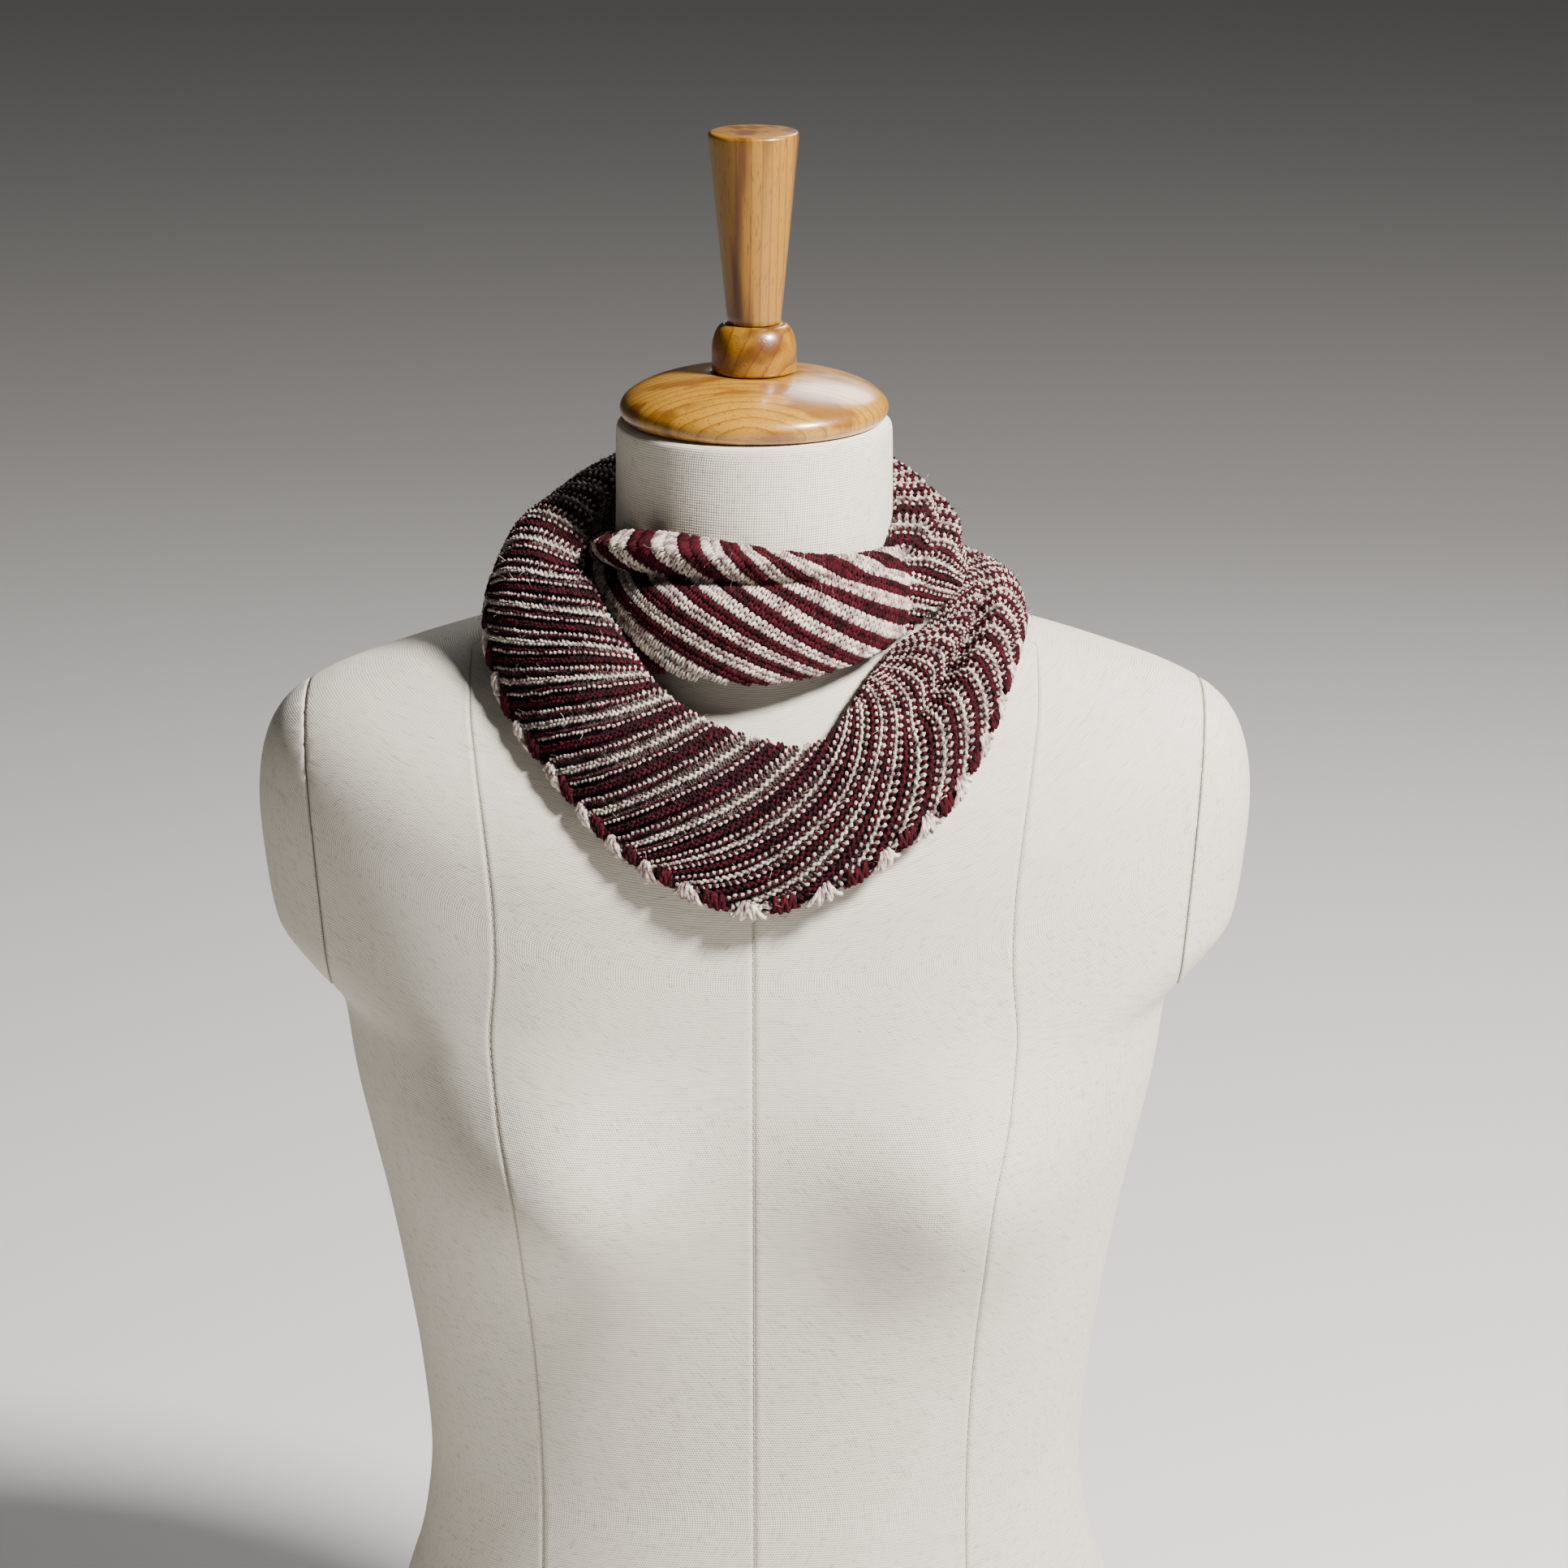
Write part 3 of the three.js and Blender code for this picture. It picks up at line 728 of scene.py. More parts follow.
def fibre_tree():
    tree, graph, given, put = geometry_tree("fibres on yarn", [
        ("Density", FLOAT, 1000.0), ("Thickness", FLOAT, 0.00005), ("Length", FLOAT, 0.003),
        ("Seed", INTEGER, 3), ("Material", MATERIAL, None)])
    scatter = graph.add("GeometryNodeDistributePointsOnFaces", {
        "Mesh": given["Geometry"], "Density": given["Density"], "Seed": given["Seed"]})
    hair = graph.add("GeometryNodeCurveQuadraticBezier", {
        "Resolution": 3, **dict(zip(("Start", "Middle", "End"), HAIR_BEND))})
    span = graph.add("ShaderNodeCombineXYZ", {i: given["Length"] for i in range(3)}).outputs[0]
    sized = graph.add(
        "GeometryNodeTransform", {"Geometry": hair.outputs[0], "Scale": span}).outputs[0]
    fibre = swept(graph, sized, given["Thickness"], 3)
    turn = graph.add(
        "FunctionNodeRandomValue", {0: LEAST_TURN, 1: MOST_TURN}, data_type="FLOAT_VECTOR")
    placed = graph.add("GeometryNodeInstanceOnPoints", {
        "Points": scatter.outputs["Points"], "Instance": fibre,
        "Rotation": scatter.outputs["Rotation"]}).outputs[0]
    turned = graph.add("GeometryNodeRotateInstances", {
        "Instances": placed, "Rotation": turn.outputs[0], "Local Space": True}).outputs[0]
    finish_tree(graph, turned, given, put)
    return tree


FIBRE_TREE = fibre_tree()
print(FIBRE_TREE.name, "has", len(FIBRE_TREE.nodes), "nodes")

# %% [markdown]
# ### Seam stitches
#
# A seam shows as a row of short threads, one after another in the groove. They repeat along a
# path, so the tree puts points on it at the pitch of the stitch and lays a thread at each.

# %% The stitch tree
def stitch_tree():
    tree, graph, given, put = geometry_tree("seam stitches", [
        ("Pitch", FLOAT, 0.003), ("Stitch", FLOAT, 0.002), ("Thickness", FLOAT, 0.0002),
        ("Material", MATERIAL, None)])
    curve = graph.add("GeometryNodeMeshToCurve", {"Mesh": given["Geometry"]}).outputs[0]
    points = graph.add("GeometryNodeCurveToPoints", {"Curve": curve, "Length": given["Pitch"]},
                       mode="LENGTH")
    half = graph.math("MULTIPLY", given["Stitch"], 0.5)
    ends = [graph.add("ShaderNodeCombineXYZ", {2: value}).outputs[0]
            for value in (graph.math("MULTIPLY", half, -1.0), half)]
    line = graph.add(
        "GeometryNodeCurvePrimitiveLine", {"Start": ends[0], "End": ends[1]}).outputs[0]
    thread = swept(graph, line, given["Thickness"], 5)
    placed = graph.add("GeometryNodeInstanceOnPoints", {
        "Points": points.outputs["Points"], "Instance": thread,
        "Rotation": points.outputs["Rotation"]}).outputs[0]
    finish_tree(graph, placed, given, put)
    return tree


STITCH_TREE = stitch_tree()
print(STITCH_TREE.name, "has", len(STITCH_TREE.nodes), "nodes")

# %% [markdown]
# ### From a tree to a plain mesh
#
# A tree works as a modifier on a mesh, here a mesh of edges only, which is the path. Its result
# is kept as a mesh of its own and the modifier goes away with its base, so that nothing is left
# to compute and every piece can be exported as it stands.

# %% Growing a piece from its path
def grown(name, source, tree, values):
    """What a tree makes from a mesh, as a plain mesh of its own."""
    base = link(bpy.data.objects.new(name + "_base", source))
    modifier = base.modifiers.new("tree", "NODES")
    modifier.node_group = tree
    sockets = {item.name: item.identifier for item in tree.interface.items_tree
               if item.item_type == "SOCKET" and item.in_out == "INPUT"}
    for key, value in values.items():
        modifier[sockets[key]] = value
    evaluated = base.evaluated_get(bpy.context.evaluated_depsgraph_get())
    mesh = bpy.data.meshes.new_from_object(evaluated)
    mesh.name = name
    bpy.data.objects.remove(base)
    return link(bpy.data.objects.new(name, mesh))


def path_mesh(paths):
    """A mesh of edges only from lines of points in millimetres. A fourth number is the depth."""
    mesh = bpy.data.meshes.new("paths")
    points, edges, depths = [], [], []
    for path in paths:
        first = len(points)
        points.extend(tuple(p[:3]) for p in path * MM)
        depths.extend(path[:, 3] if path.shape[1] > 3 else [0.0] * len(path))
        edges.extend((i, i + 1) for i in range(first, len(points) - 1))
    mesh.from_pydata(points, edges, [])
    mesh.attributes.new("deep", "FLOAT", "POINT").data.foreach_set("value", depths)
    return mesh


print("a path of 3 points has", len(path_mesh([np.zeros((3, 3))]).edges), "edges")

# %% [markdown]
# ## The dress form
#
# A padded shell in a fitted canvas cover. The cover is sewn from shaped panels, so its lines run
# down the middle, over the bust and at the sides, and a leaning seam sets in each shoulder cap.
# It could be sculpted, but a body like this is a stack of soft rectangles, so a table gives each
# ring's half width, half depths and heights, from the neck down to the floor. The bust is a pair
# of soft bumps on it.

# %% The form's measures
FORM_COLUMNS = ["at", "side", "cap", "front", "back", "square", "sideZ", "frontZ", "backZ"]
FORM_RINGS = [
    [55.5, 0, 55.5, 55.5, 2, 650, 650, 650],
    [57, 0, 57, 57, 2, 647, 647, 647],
    [57.3, 0, 57.3, 57.3, 2, 630, 630, 630],
    [57.6, 0, 57.6, 57.6, 2, 606, 604, 606],
    [59, 0, 58.5, 58.5, 2, 592, 584, 594],
    [64, 0, 62, 62, 2, 581, 568, 585],
    [76, 0, 68, 69, 2, 572.5, 553, 578],
    [97, 0, 75, 77, 2.05, 566, 539, 569],
    [124, 0, 83, 87, 2.1, 559, 524, 556],
    [152, 0, 91, 96, 2.15, 551, 508, 541],
    [174, 4, 99, 103, 2.2, 542, 490, 522],
    [182, 14, 104, 107, 2.25, 531, 471, 501],
    [184, 21, 106, 109, 2.3, 515, 453, 478],
    [183, 25, 108, 109, 2.3, 493, 437, 455],
    [180, 26, 110, 108.5, 2.3, 466, 422, 434],
    [177, 25, 111.5, 108, 2.3, 441, 409, 415],
    [175, 15, 113, 107, 2.3, 424, 399, 402],
    [174, 3, 114, 106.5, 2.3, 412, 391, 392],
    [172.5, 0, 115, 106, 2.3, 398, 382, 382],
    [169, 0, 115.5, 104, 2.3, 374, 366, 366],
    [163, 0, 114, 101, 2.3, 347, 344, 344],
    [156, 0, 110.5, 97.5, 2.3, 316, 316, 316],
    [149.5, 0, 106, 94, 2.3, 280, 280, 280],
    [144, 0, 101.5, 91, 2.25, 244, 244, 244],
    [140.3, 0, 98, 90, 2.2, 200, 200, 200],
    [144, 0, 98.5, 95, 2.2, 164, 164, 164],
    [151.5, 0, 101, 102, 2.2, 138, 138, 138],
    [163, 0, 105, 112, 2.2, 100, 100, 100],
    [172, 0, 108, 119, 2.2, 60, 60, 60],
    [176, 0, 109, 122, 2.2, 22, 22, 22],
    [176, 0, 109, 122, 2.2, 0, 0, 0],
]
BUST = {"x": 94, "z": 347, "reach_x": 50, "reach_z": 46, "height": 29}
SHOULDER_TOP, UNDERARM = (187.0, 541.0), (175.5, 411.0)  # x and z on the armhole's plane
SEAM_GAP = 0.3
PANEL_SEAM = [  # height, and how far from the middle the seam over the bust runs there
    [0, 95], [100, 92], [205, 89], [264, 91], [310, 94.5], [349, 98], [385, 105], [412, 107],
    [444, 105], [470, 106], [495, 109], [525, 114], [541, 116.5], [565, 117],
]
FORM = table_curves(FORM_COLUMNS, [[i, *row] for i, row in enumerate(FORM_RINGS)])
PANEL_X = smooth_curve([row[0] for row in PANEL_SEAM], [row[1] for row in PANEL_SEAM])
print("form:", len(FORM_RINGS), "rings from", FORM_RINGS[0][5], "mm down to the floor")

# %% [markdown]
# ### The surface and its panel seams
#
# Any place on the form is a ring, counted down the table, and a turn round it. The seams over
# the bust and the blades are found on it by trying and correcting, ring by ring, until they lie
# as far from the middle as they should. Drawing them on the finished body would be easier to
# see, but then no edges of the mesh would lie along them.

# %% Places on the form
CAP_POWER = 6  # how fast the shoulder caps round off
SEAM_TOP = PANEL_SEAM[-1][0]
WIDEST_SEAM = 0.985  # of the half width, where the neck is narrower than the seam


def form_point(ring, turn):
    """The surface of the form, for numbers or arrays of where down and where round."""
    c, s = np.cos(turn), np.sin(turn)
    value = {name: FORM[name](ring) for name in FORM}
    front = s < 0
    middle = np.where(front, value["frontZ"], value["backZ"])
    power = 2 / value["square"]
    x = value["side"] * np.sign(c) * abs(c) ** power
    x = x + value["cap"] * np.sign(c) * abs(c) ** CAP_POWER
    y = np.where(front, value["front"], value["back"]) * np.sign(s) * abs(s) ** power
    z = middle + (value["sideZ"] - middle) * c * c
    across = (abs(x) - BUST["x"]) / BUST["reach_x"]
    upward = (z - BUST["z"]) / BUST["reach_z"]
    bust = np.where(front, BUST["height"] * np.exp(-across**2 - upward**2) * -s, 0)
    return np.stack([x, y - bust, z], -1)


def panel_turn(ring, side):
    """How far round from the side the seam over the bust (side -1) or blade (1) is."""
    turn = 0.5
    for _ in range(12):
        x, _, z = form_point(ring, side * turn)
        wide = FORM["side"](ring)
        share = min(PANEL_X(min(z, SEAM_TOP)) / wide, WIDEST_SEAM)
        turn = math.acos(share ** (FORM["square"](ring) / 2))
    return turn


print("the seam over the bust lies", round(math.degrees(panel_turn(19, -1))), "degrees round")

# %% [markdown]
# ### Grooves along the seams
#
# A sewn seam pulls the padded cover in: a narrow groove with a slight swell on each side. Eight
# columns of points follow the eight seams down the form, with a few more close by for the
# groove's section, and the panels between them get evenly spread ones. A groove cut afterwards,
# or one made by bump only, would be blurred or would vanish at the outline.

# %% The form's rows of points
GROOVE = [  # how far from the seam, how far out, how dark
    (0.0, -0.5, 1.0), (0.55, -0.22, 0.35), (1.3, 0.12, 0.0), (3.0, 0.0, 0.0)]
PANEL_STEPS = 20
SEAM_COUNT = 8
LAST_RING = len(FORM_RINGS) - 1
SHOULDER_START, SHOULDER_RUN = 100, 25  # half widths between which the upper seams begin
UNDERARM_RING, UNDERARM_RUN = 17.3, 0.5
TINY = 1e-3


def form_rows(rings):
    """Points of the form's skin, ring by ring, with their place on the cloth and in the seams."""
    rows, cloth, seams = [], [], []
    fine = np.linspace(0, 2 * math.pi, 1441)
    down = 0.0
    for ring in rings:
        line = form_point(np.full(fine.shape, ring), fine)
        round_ = np.concatenate([[0], np.cumsum(np.linalg.norm(np.diff(line, axis=0), axis=1))])
        front, back = panel_turn(ring, -1), panel_turn(ring, 1)
        turns = [0, back, math.pi / 2, math.pi - back, math.pi, math.pi + front,
                 1.5 * math.pi, 2 * math.pi - front, 2 * math.pi]
        marks = np.interp(turns, fine, round_)
        # The side seams end under the arms, and the others at the top of the shoulders.
        shoulder = float(np.clip((FORM["side"](ring) - SHOULDER_START) / SHOULDER_RUN, 0, 1))
        underarm = float(np.clip((ring - UNDERARM_RING) / UNDERARM_RUN, 0, 1))
        places, depth, dark = [], [], []
        for k in range(SEAM_COUNT):
            start, end = marks[k], marks[k + 1]
            reach = min(1.0, (end - start) / 9)
            sewn = [reach * (shoulder if j % 4 else underarm) for j in (k, k + 1)]
            inner = np.linspace(start + 3 * reach, end - 3 * reach, PANEL_STEPS + 2)[1:-1]
            places += [start + offset * reach for offset, _, _ in GROOVE] + list(inner)
            places += [end - offset * reach for offset, _, _ in GROOVE[:0:-1]]
            for column, values in ((1, depth), (2, dark)):
                values += [edge[column] * sewn[0] for edge in GROOVE] + [0] * PANEL_STEPS
                values += [edge[column] * sewn[1] for edge in GROOVE[:0:-1]]
        turn = np.interp(places, round_, fine)
        here = np.full(turn.shape, ring)
        point = form_point(here, turn)
        along = form_point(here, turn + TINY) - form_point(here, turn - TINY)
        lower, upper = (np.clip(here + step, 0, LAST_RING) for step in (TINY, -TINY))
        normal = np.cross(form_point(lower, turn) - form_point(upper, turn), along)
        normal /= np.linalg.norm(normal, axis=1, keepdims=True) + 1e-12
        rows.append(point + normal * np.array(depth)[:, None])
        if len(rows) > 1:
            down += float(np.linalg.norm(rows[-1] - rows[-2], axis=1).mean())
        spot = np.stack([places, np.full(len(places), down), np.zeros(len(places))], -1)
        cloth.append(spot * MM)
        seams.append(dark)
    return np.array(rows), np.array(cloth), np.array(seams)


print("a ring has", SEAM_COUNT * (2 * len(GROOVE) - 1 + PANEL_STEPS), "points")

# %% [markdown]
# ### The skin
#
# The torso and both caps are parts of one skin, so the canvas runs on from one to the next. It
# is made once: rings close together where the neck and the base turn, and a flat face at both
# ends.

# %% One skin for torso and caps
def form_skin():
    rings = np.concatenate([np.linspace(0, 3, 25)[:-1], np.linspace(3, 29, 157)[:-1],
                            np.linspace(29, 30, 5)])
    rows, cloth, seams = form_rows(rings)
    count = rows.shape[1]
    faces = grid_faces(len(rows), count)
    faces.append(tuple(range(count))[::-1])
    faces.append(tuple((len(rows) - 1) * count + j for j in range(count)))
    attributes = {"cloth": cloth.reshape(-1, 3), "seam": seams.ravel()}
    return rows.reshape(-1, 3), faces, attributes


FORM_SKIN = form_skin()
print("skin:", len(FORM_SKIN[0]), "points,", len(FORM_SKIN[1]), "faces")

# %% [markdown]
# ### Armholes
#
# Each shoulder cap is a separate pad, sewn on at a leaning armhole. A boolean cut would leave
# ragged faces at the edge, so the skin is cut by a plane, the cut is closed, and its rim is
# drawn in a little and darkened, as the seam there is.

# %% Cutting at the armholes
CUT_FLOOR = 0.405  # the armholes' cuts end above this height
RIM_WIDTH, RIM_DEPTH, RIM_DARK = 0.0012, 0.0007, 0.9


def armhole_plane(side, gap):
    lean = math.atan2(SHOULDER_TOP[0] - UNDERARM[0], SHOULDER_TOP[1] - UNDERARM[1])
    normal = Vector((side * math.cos(lean), 0, -math.sin(lean)))
    place = Vector((side * UNDERARM[0], 0, UNDERARM[1])) + normal * gap
    return place * MM, normal


def cut_away(bm, place, normal):
    """Cuts off what is beyond a plane, closes the cut and rolls its rim in, as at a seam."""

    def above_the_waist():
        parts = [*bm.verts, *bm.edges, *bm.faces]
        return [g for g in parts if all(v.co.z > CUT_FLOOR for v in getattr(g, "verts", [g]))]

    bmesh.ops.bisect_plane(
        bm, geom=above_the_waist(), plane_co=place - normal * RIM_WIDTH, plane_no=normal)
    cut = bmesh.ops.bisect_plane(
        bm, geom=above_the_waist(), plane_co=place, plane_no=normal, clear_outer=True)
    loop = [g for g in cut["geom_cut"] if isinstance(g, bmesh.types.BMEdge)]
    verts = list(dict.fromkeys(v for e in loop for v in e.verts))  # each once, in a fixed order
    middle = sum((v.co for v in verts), Vector()) / len(verts)
    seam = bm.verts.layers.float.get("seam")
    for v in verts:
        v.co += (middle - v.co).normalized() * RIM_DEPTH
        v[seam] = RIM_DARK
    bmesh.ops.holes_fill(bm, edges=loop, sides=0)


print("the right armhole's cut faces", tuple(round(v, 2) for v in armhole_plane(1, 0)[1]))

# %% [markdown]
# ### Torso and caps
#
# The real torso is one padded shell and each cap a pad beside it. Three skins made apart would
# meet badly at the seams, so all three come from the one skin: cut at both armholes it is the
# torso, and what lies outside each cut, a little apart, is a cap.

# %% The torso and the caps
CAP_START = 0.1  # a cap's points lie further out than this


def form_piece(name, cuts, keep):
    points, faces, attributes = FORM_SKIN
    obj = mesh_object(name, points, faces, CANVAS, attributes)
    bm = bmesh.new()
    bm.from_mesh(obj.data)
    for place, normal in cuts:
        cut_away(bm, place, normal)
    if keep:
        loose = [v for v in bm.verts if not keep(v.co)]
        bmesh.ops.delete(bm, geom=loose, context="VERTS")
    bmesh.ops.recalc_face_normals(bm, faces=bm.faces)
    bm.to_mesh(obj.data)
    bm.free()
    return obj


torso = form_piece("torso_canvas", [armhole_plane(1, 0), armhole_plane(-1, 0)], None)
finished(torso, "linen", "form_torso")
print(torso.name, triangles(torso), "triangles")
for side, name in ((1, "right"), (-1, "left")):
    place, normal = armhole_plane(side, SEAM_GAP)
    cap = form_piece(f"cap_canvas_{name}", [(place, -normal)],
                     lambda co: co.x * side > CAP_START and co.z > CUT_FLOOR)
    finished(cap, "linen", f"form_cap_{name}")
    print(cap.name, triangles(cap), "triangles")

# %% [markdown]
# ### The seams' stitches
#
# Short pale threads lie in each groove, about three millimetres apart. From a few steps away
# they only roughen the seam, and from near by they are what makes it read as sewn. The paths are
# the grooves' own columns of points, lifted out a little.

# %% Thread in the grooves
THREAD_DARK, THREAD_PALE = (0.34, 0.31, 0.26, 1), (0.55, 0.52, 0.46, 1)
THREAD_LIFT = 0.25
CAP_EDGE, SIDE_SEAM_TOP = 173, 400  # no stitches run over the caps, from this far out and up


def thread_material():
    material, graph, shader = new_material("thread", Roughness=0.7)
    place = graph.add("ShaderNodeTexCoord").outputs["Object"]
    colour = graph.mix(graph.noise(place, 500.0), THREAD_DARK, THREAD_PALE)
    graph.tree.links.new(colour, shader.inputs["Base Color"])
    return material


def seam_paths():
    points, _, attributes = FORM_SKIN
    panel = 2 * len(GROOVE) - 1 + PANEL_STEPS
    rows = points.reshape(-1, SEAM_COUNT * panel, 3)
    shade = attributes["seam"].reshape(-1, SEAM_COUNT * panel)
    paths = []
    for column in range(0, SEAM_COUNT * panel, panel):
        line, on = rows[:, column], shade[:, column] > 0.9
        inside = abs(line[:, 0]) < CAP_EDGE
        line = line[on & (inside | (line[:, 2] < SIDE_SEAM_TOP)) & (line[:, 2] > 2)]
        radial = line * [1, 1, 0]
        radial /= np.linalg.norm(radial, axis=1, keepdims=True)
        paths.append(line + radial * THREAD_LIFT)
    return paths


stitches = grown("seam_stitches", path_mesh(seam_paths()), STITCH_TREE, {
    "Pitch": 0.0032, "Stitch": 0.0022, "Thickness": 0.00022, "Material": thread_material()})
finished(stitches, "linen")
print(stitches.name, triangles(stitches), "triangles")

# %% [markdown]
# ## The turned wood
#
# A low dome closes the neck, and a bead and a tapered handle stand on it, each turned on a
# lathe. A cylinder with bevelled edges comes near, but turned work shows in its outline: small
# flats, eased edges and quarter rounds. So each piece is its outline, swept round its axis.

# %% Turning on a lathe
def turned(name, node, foot, outline, segments=96):
    """A lathe piece from (radius, height) points, closed at both ends of the axis."""
    outline = np.asarray(outline, float)
    turn = np.linspace(0, 2 * math.pi, segments, endpoint=False)
    rings = [
        np.stack([r * np.cos(turn), r * np.sin(turn), np.full(segments, z + foot)], -1)
        for r, z in outline
    ]
    ends = [[0, 0, outline[0][1] + foot], [0, 0, outline[-1][1] + foot]]
    points = np.concatenate(rings + [ends])
    faces = grid_faces(len(rings), segments)
    low, high = len(points) - 2, len(points) - 1
    last = (len(rings) - 1) * segments
    for j in range(segments):
        k = (j + 1) % segments
        faces += [(low, k, j), (high, last + j, last + k)]
    obj = outward(mesh_object(name, points, faces, WOODS[node]))
    print(name, triangles(obj), "triangles")
    return finished(obj, "wood", node)


def arc(r0, z0, r1, z1, steps=8, level=True):
    """A quarter ellipse between two points, level at its end or at its start."""
    turn = np.linspace(0, math.pi / 2, steps + 1)
    if level:
        return [(r1 + (r0 - r1) * math.cos(a), z0 + (z1 - z0) * math.sin(a)) for a in turn]
    return [(r0 + (r1 - r0) * math.sin(a), z1 + (z0 - z1) * math.cos(a)) for a in turn]


print("an arc of 2 steps:", arc(10, 0, 0, 10, 2))

# %% [markdown]
# ### Disc, bead and handle
#
# Each outline runs from the axis out along the foot, up the side and back in at the top, as
# (radius, height) above the piece's own foot. The disc's dome ends in a small step for the bead,
# the bead's foot is wider than its top, and the handle widens upwards to an eased rim.

# %% The three outlines
DISC_FOOT, BEAD_FOOT, HANDLE_FOOT = 650.3, 670.6, 690.9

disc_outline = (
    [(8, 0), (48, 0)] + arc(51, 0.2, 55.5, 5.5, 8, level=False)
    + [p for p in arc(55.5, 5.5, 0, 21.4, 26) if p[0] > 18.2][1:]
    + [(17.9, 20.1), (17.0, 20.0), (8, 20.0)]
)
turned("neck_disc", "form_neck_disc", DISC_FOOT, disc_outline)
bead_outline = (
    [(4, 0), (15.6, 0)] + arc(16.2, 0.1, 17.5, 1.6, 5, level=False) + [(17.5, 8.5)]
    + arc(17.5, 8.5, 12, 20, 14)[1:-1] + [(12.4, 19.7), (11.8, 20), (4, 20)]
)
turned("neck_bead", "form_bead", BEAD_FOOT, bead_outline)
taper = [(11.0 + 7.7 * h / 78.1, h) for h in np.linspace(0.6, 77.0, 24)]
handle_outline = (
    [(4, 0), (10.4, 0), (10.8, 0.2)] + taper + arc(18.6, 77.4, 17.3, 79, 6) + [(6, 79)]
)
turned("neck_handle", "form_handle", HANDLE_FOOT, handle_outline)

# %% [markdown]
# ## The neck warmer
#
# The real one is a long band of stockinette in two-row stripes, folded lengthwise, joined end to
# end and wound twice round the neck. A simulation could drape it, but the folds wouldn't come
# where the real ones are, so the drape is a table. Its route is measured by an angle that grows
# from 0 at the right side by the front, the left and the back to 720. Each row gives the radius
# and height of the fold at the top and of the selvedge below, how far the cloth between them
# bulges, and the roll under the fold and the crease across it.

# %% The band's table
BAND_COLUMNS = ["at", "topR", "topZ", "edgeR", "edgeZ", "bulge", "roll", "crease", "depth"]
BAND_ROWS = [
    # first turn: right side, front, left side, back
    [0, 62, 617, 88, 590, 6, 0, 0.45, 3],
    [15, 62, 610, 87, 586, 5.5, 0, 0.42, 3],
    [30, 62, 603, 84, 581, 5, 1, 0.3, 2],
    [60, 65, 605.5, 84, 568, 4.5, 1, 0.2, 2.5],
    [90, 66, 611, 85, 562, 4.5, 1.5, 0.25, 5],
    [120, 66, 614.5, 80.8, 563.5, 4.5, 3, 0.29, 6.5],
    [140, 64.5, 612, 78, 569, 3.5, 2.5, 0.34, 5.5],
    [160, 63.5, 607, 76, 577, 3.5, 1, 0.36, 3],
    [180, 63.8, 601, 77, 581, 3, 0, 0.4, 0],
    [210, 63.7, 600, 76, 584.5, 3, 0, 0.4, 0],
    [240, 63.2, 606, 77, 587, 3, 0, 0.4, 0],
    [270, 63.2, 608, 77, 589, 3, 0, 0.4, 0],
    [300, 64, 604, 86, 580, 4, 0, 0.4, 0],
    [325, 74, 596, 99, 572, 6, 0, 0.3, 0],
    [345, 89, 585, 108, 567, 9, 0, 0.3, 0],
    # second turn: right side, front, left side, back
    [360, 91, 586, 112, 566, 9, 0, 0.3, 0],
    [375, 89, 584.5, 113.5, 561.5, 10, 0, 0.22, 5],
    [385, 87, 579, 116, 553, 11, 0, 0.33, 9],
    [394, 83.5, 572.5, 120, 541, 11, 0, 0.38, 9],
    [403, 80, 567, 124, 527, 10, 0, 0.42, 7],
    [411, 82, 560.5, 126, 512, 8.5, 0, 0.43, 3],
    [420, 86, 550.5, 125, 500, 7, 0, 0.44, 1],
    [430, 90.5, 537, 122, 486, 6, 0, 0.44, 0],
    [438, 89.5, 533, 119, 478.5, 6, 0, 0.44, 0],
    [450, 86.5, 536.5, 115.5, 472.5, 6, 0, 0.44, 0],
    [465, 86, 544, 115, 481, 7, 0, 0.44, 0],
    [480, 85.5, 557.8, 116.3, 497, 8, 0, 0.44, 0],
    [495, 86, 581, 118, 523, 9, 0, 0.44, 0],
    [507, 81.5, 592, 119, 541, 10, 0, 0.44, 0],
    [520, 77, 597.5, 117, 564, 12, 0, 0.44, 0],
    [535, 71, 610, 109, 584, 13, 0, 0.44, 0],
    [550, 66, 618, 99.5, 590, 10, 0, 0.44, 0],
    [570, 64.5, 626, 97, 588, 9.5, 0, 0.44, 0],
    [600, 64, 631, 101, 584, 10.5, 0, 0.44, 0],
    [630, 64, 633, 104, 585, 11, 0, 0.44, 0],
    [660, 63, 631, 98, 590, 10, 0, 0.44, 1],
    [675, 62, 627, 90, 596, 8, 0, 0.45, 2],
    [690, 61.8, 622, 83, 602, 6, 0, 0.45, 3],
    [708, 62, 620, 87, 594, 6, 0, 0.45, 3],
]
BAND = table_curves(BAND_COLUMNS, BAND_ROWS, period=720)
THICK = 6.8  # the folded band, two layers and the air between them
START, END = 215, 935  # the route, opened behind the left side, where nothing shows
print("band:", len(BAND_ROWS), "rows for", END - START, "degrees")

# %% [markdown]
# ### Soft folds
#
# On the face of the band lie the folds that the weight of the cloth makes: ridges where it
# bunches, two rolls with a valley between them, and a roll with the cloth tucked in under it.
# Displacing a finished mesh could add them too, but then the yarn wouldn't know, so they belong
# to the outline that the cloth and the yarn are both built on.

# %% Folds in the face
BUNCHED = 655, 680, 715, 738  # where on the route a fold begins, is whole, wanes and has gone
ROLLED = 355, 368, 402, 416
TUCKED = 772, 796, 872, 888
ROLL_PLACE, ROLL_WIDTH, CREASE_WIDTH, VALLEY_WIDTH = 0.15, 0.13, 0.085, 0.09
RIDGE_HEIGHT, ROLL_HEIGHT, TUCK_HEIGHT, TUCK_DEPTH = 3.2, 3.8, 3.6, 1.8


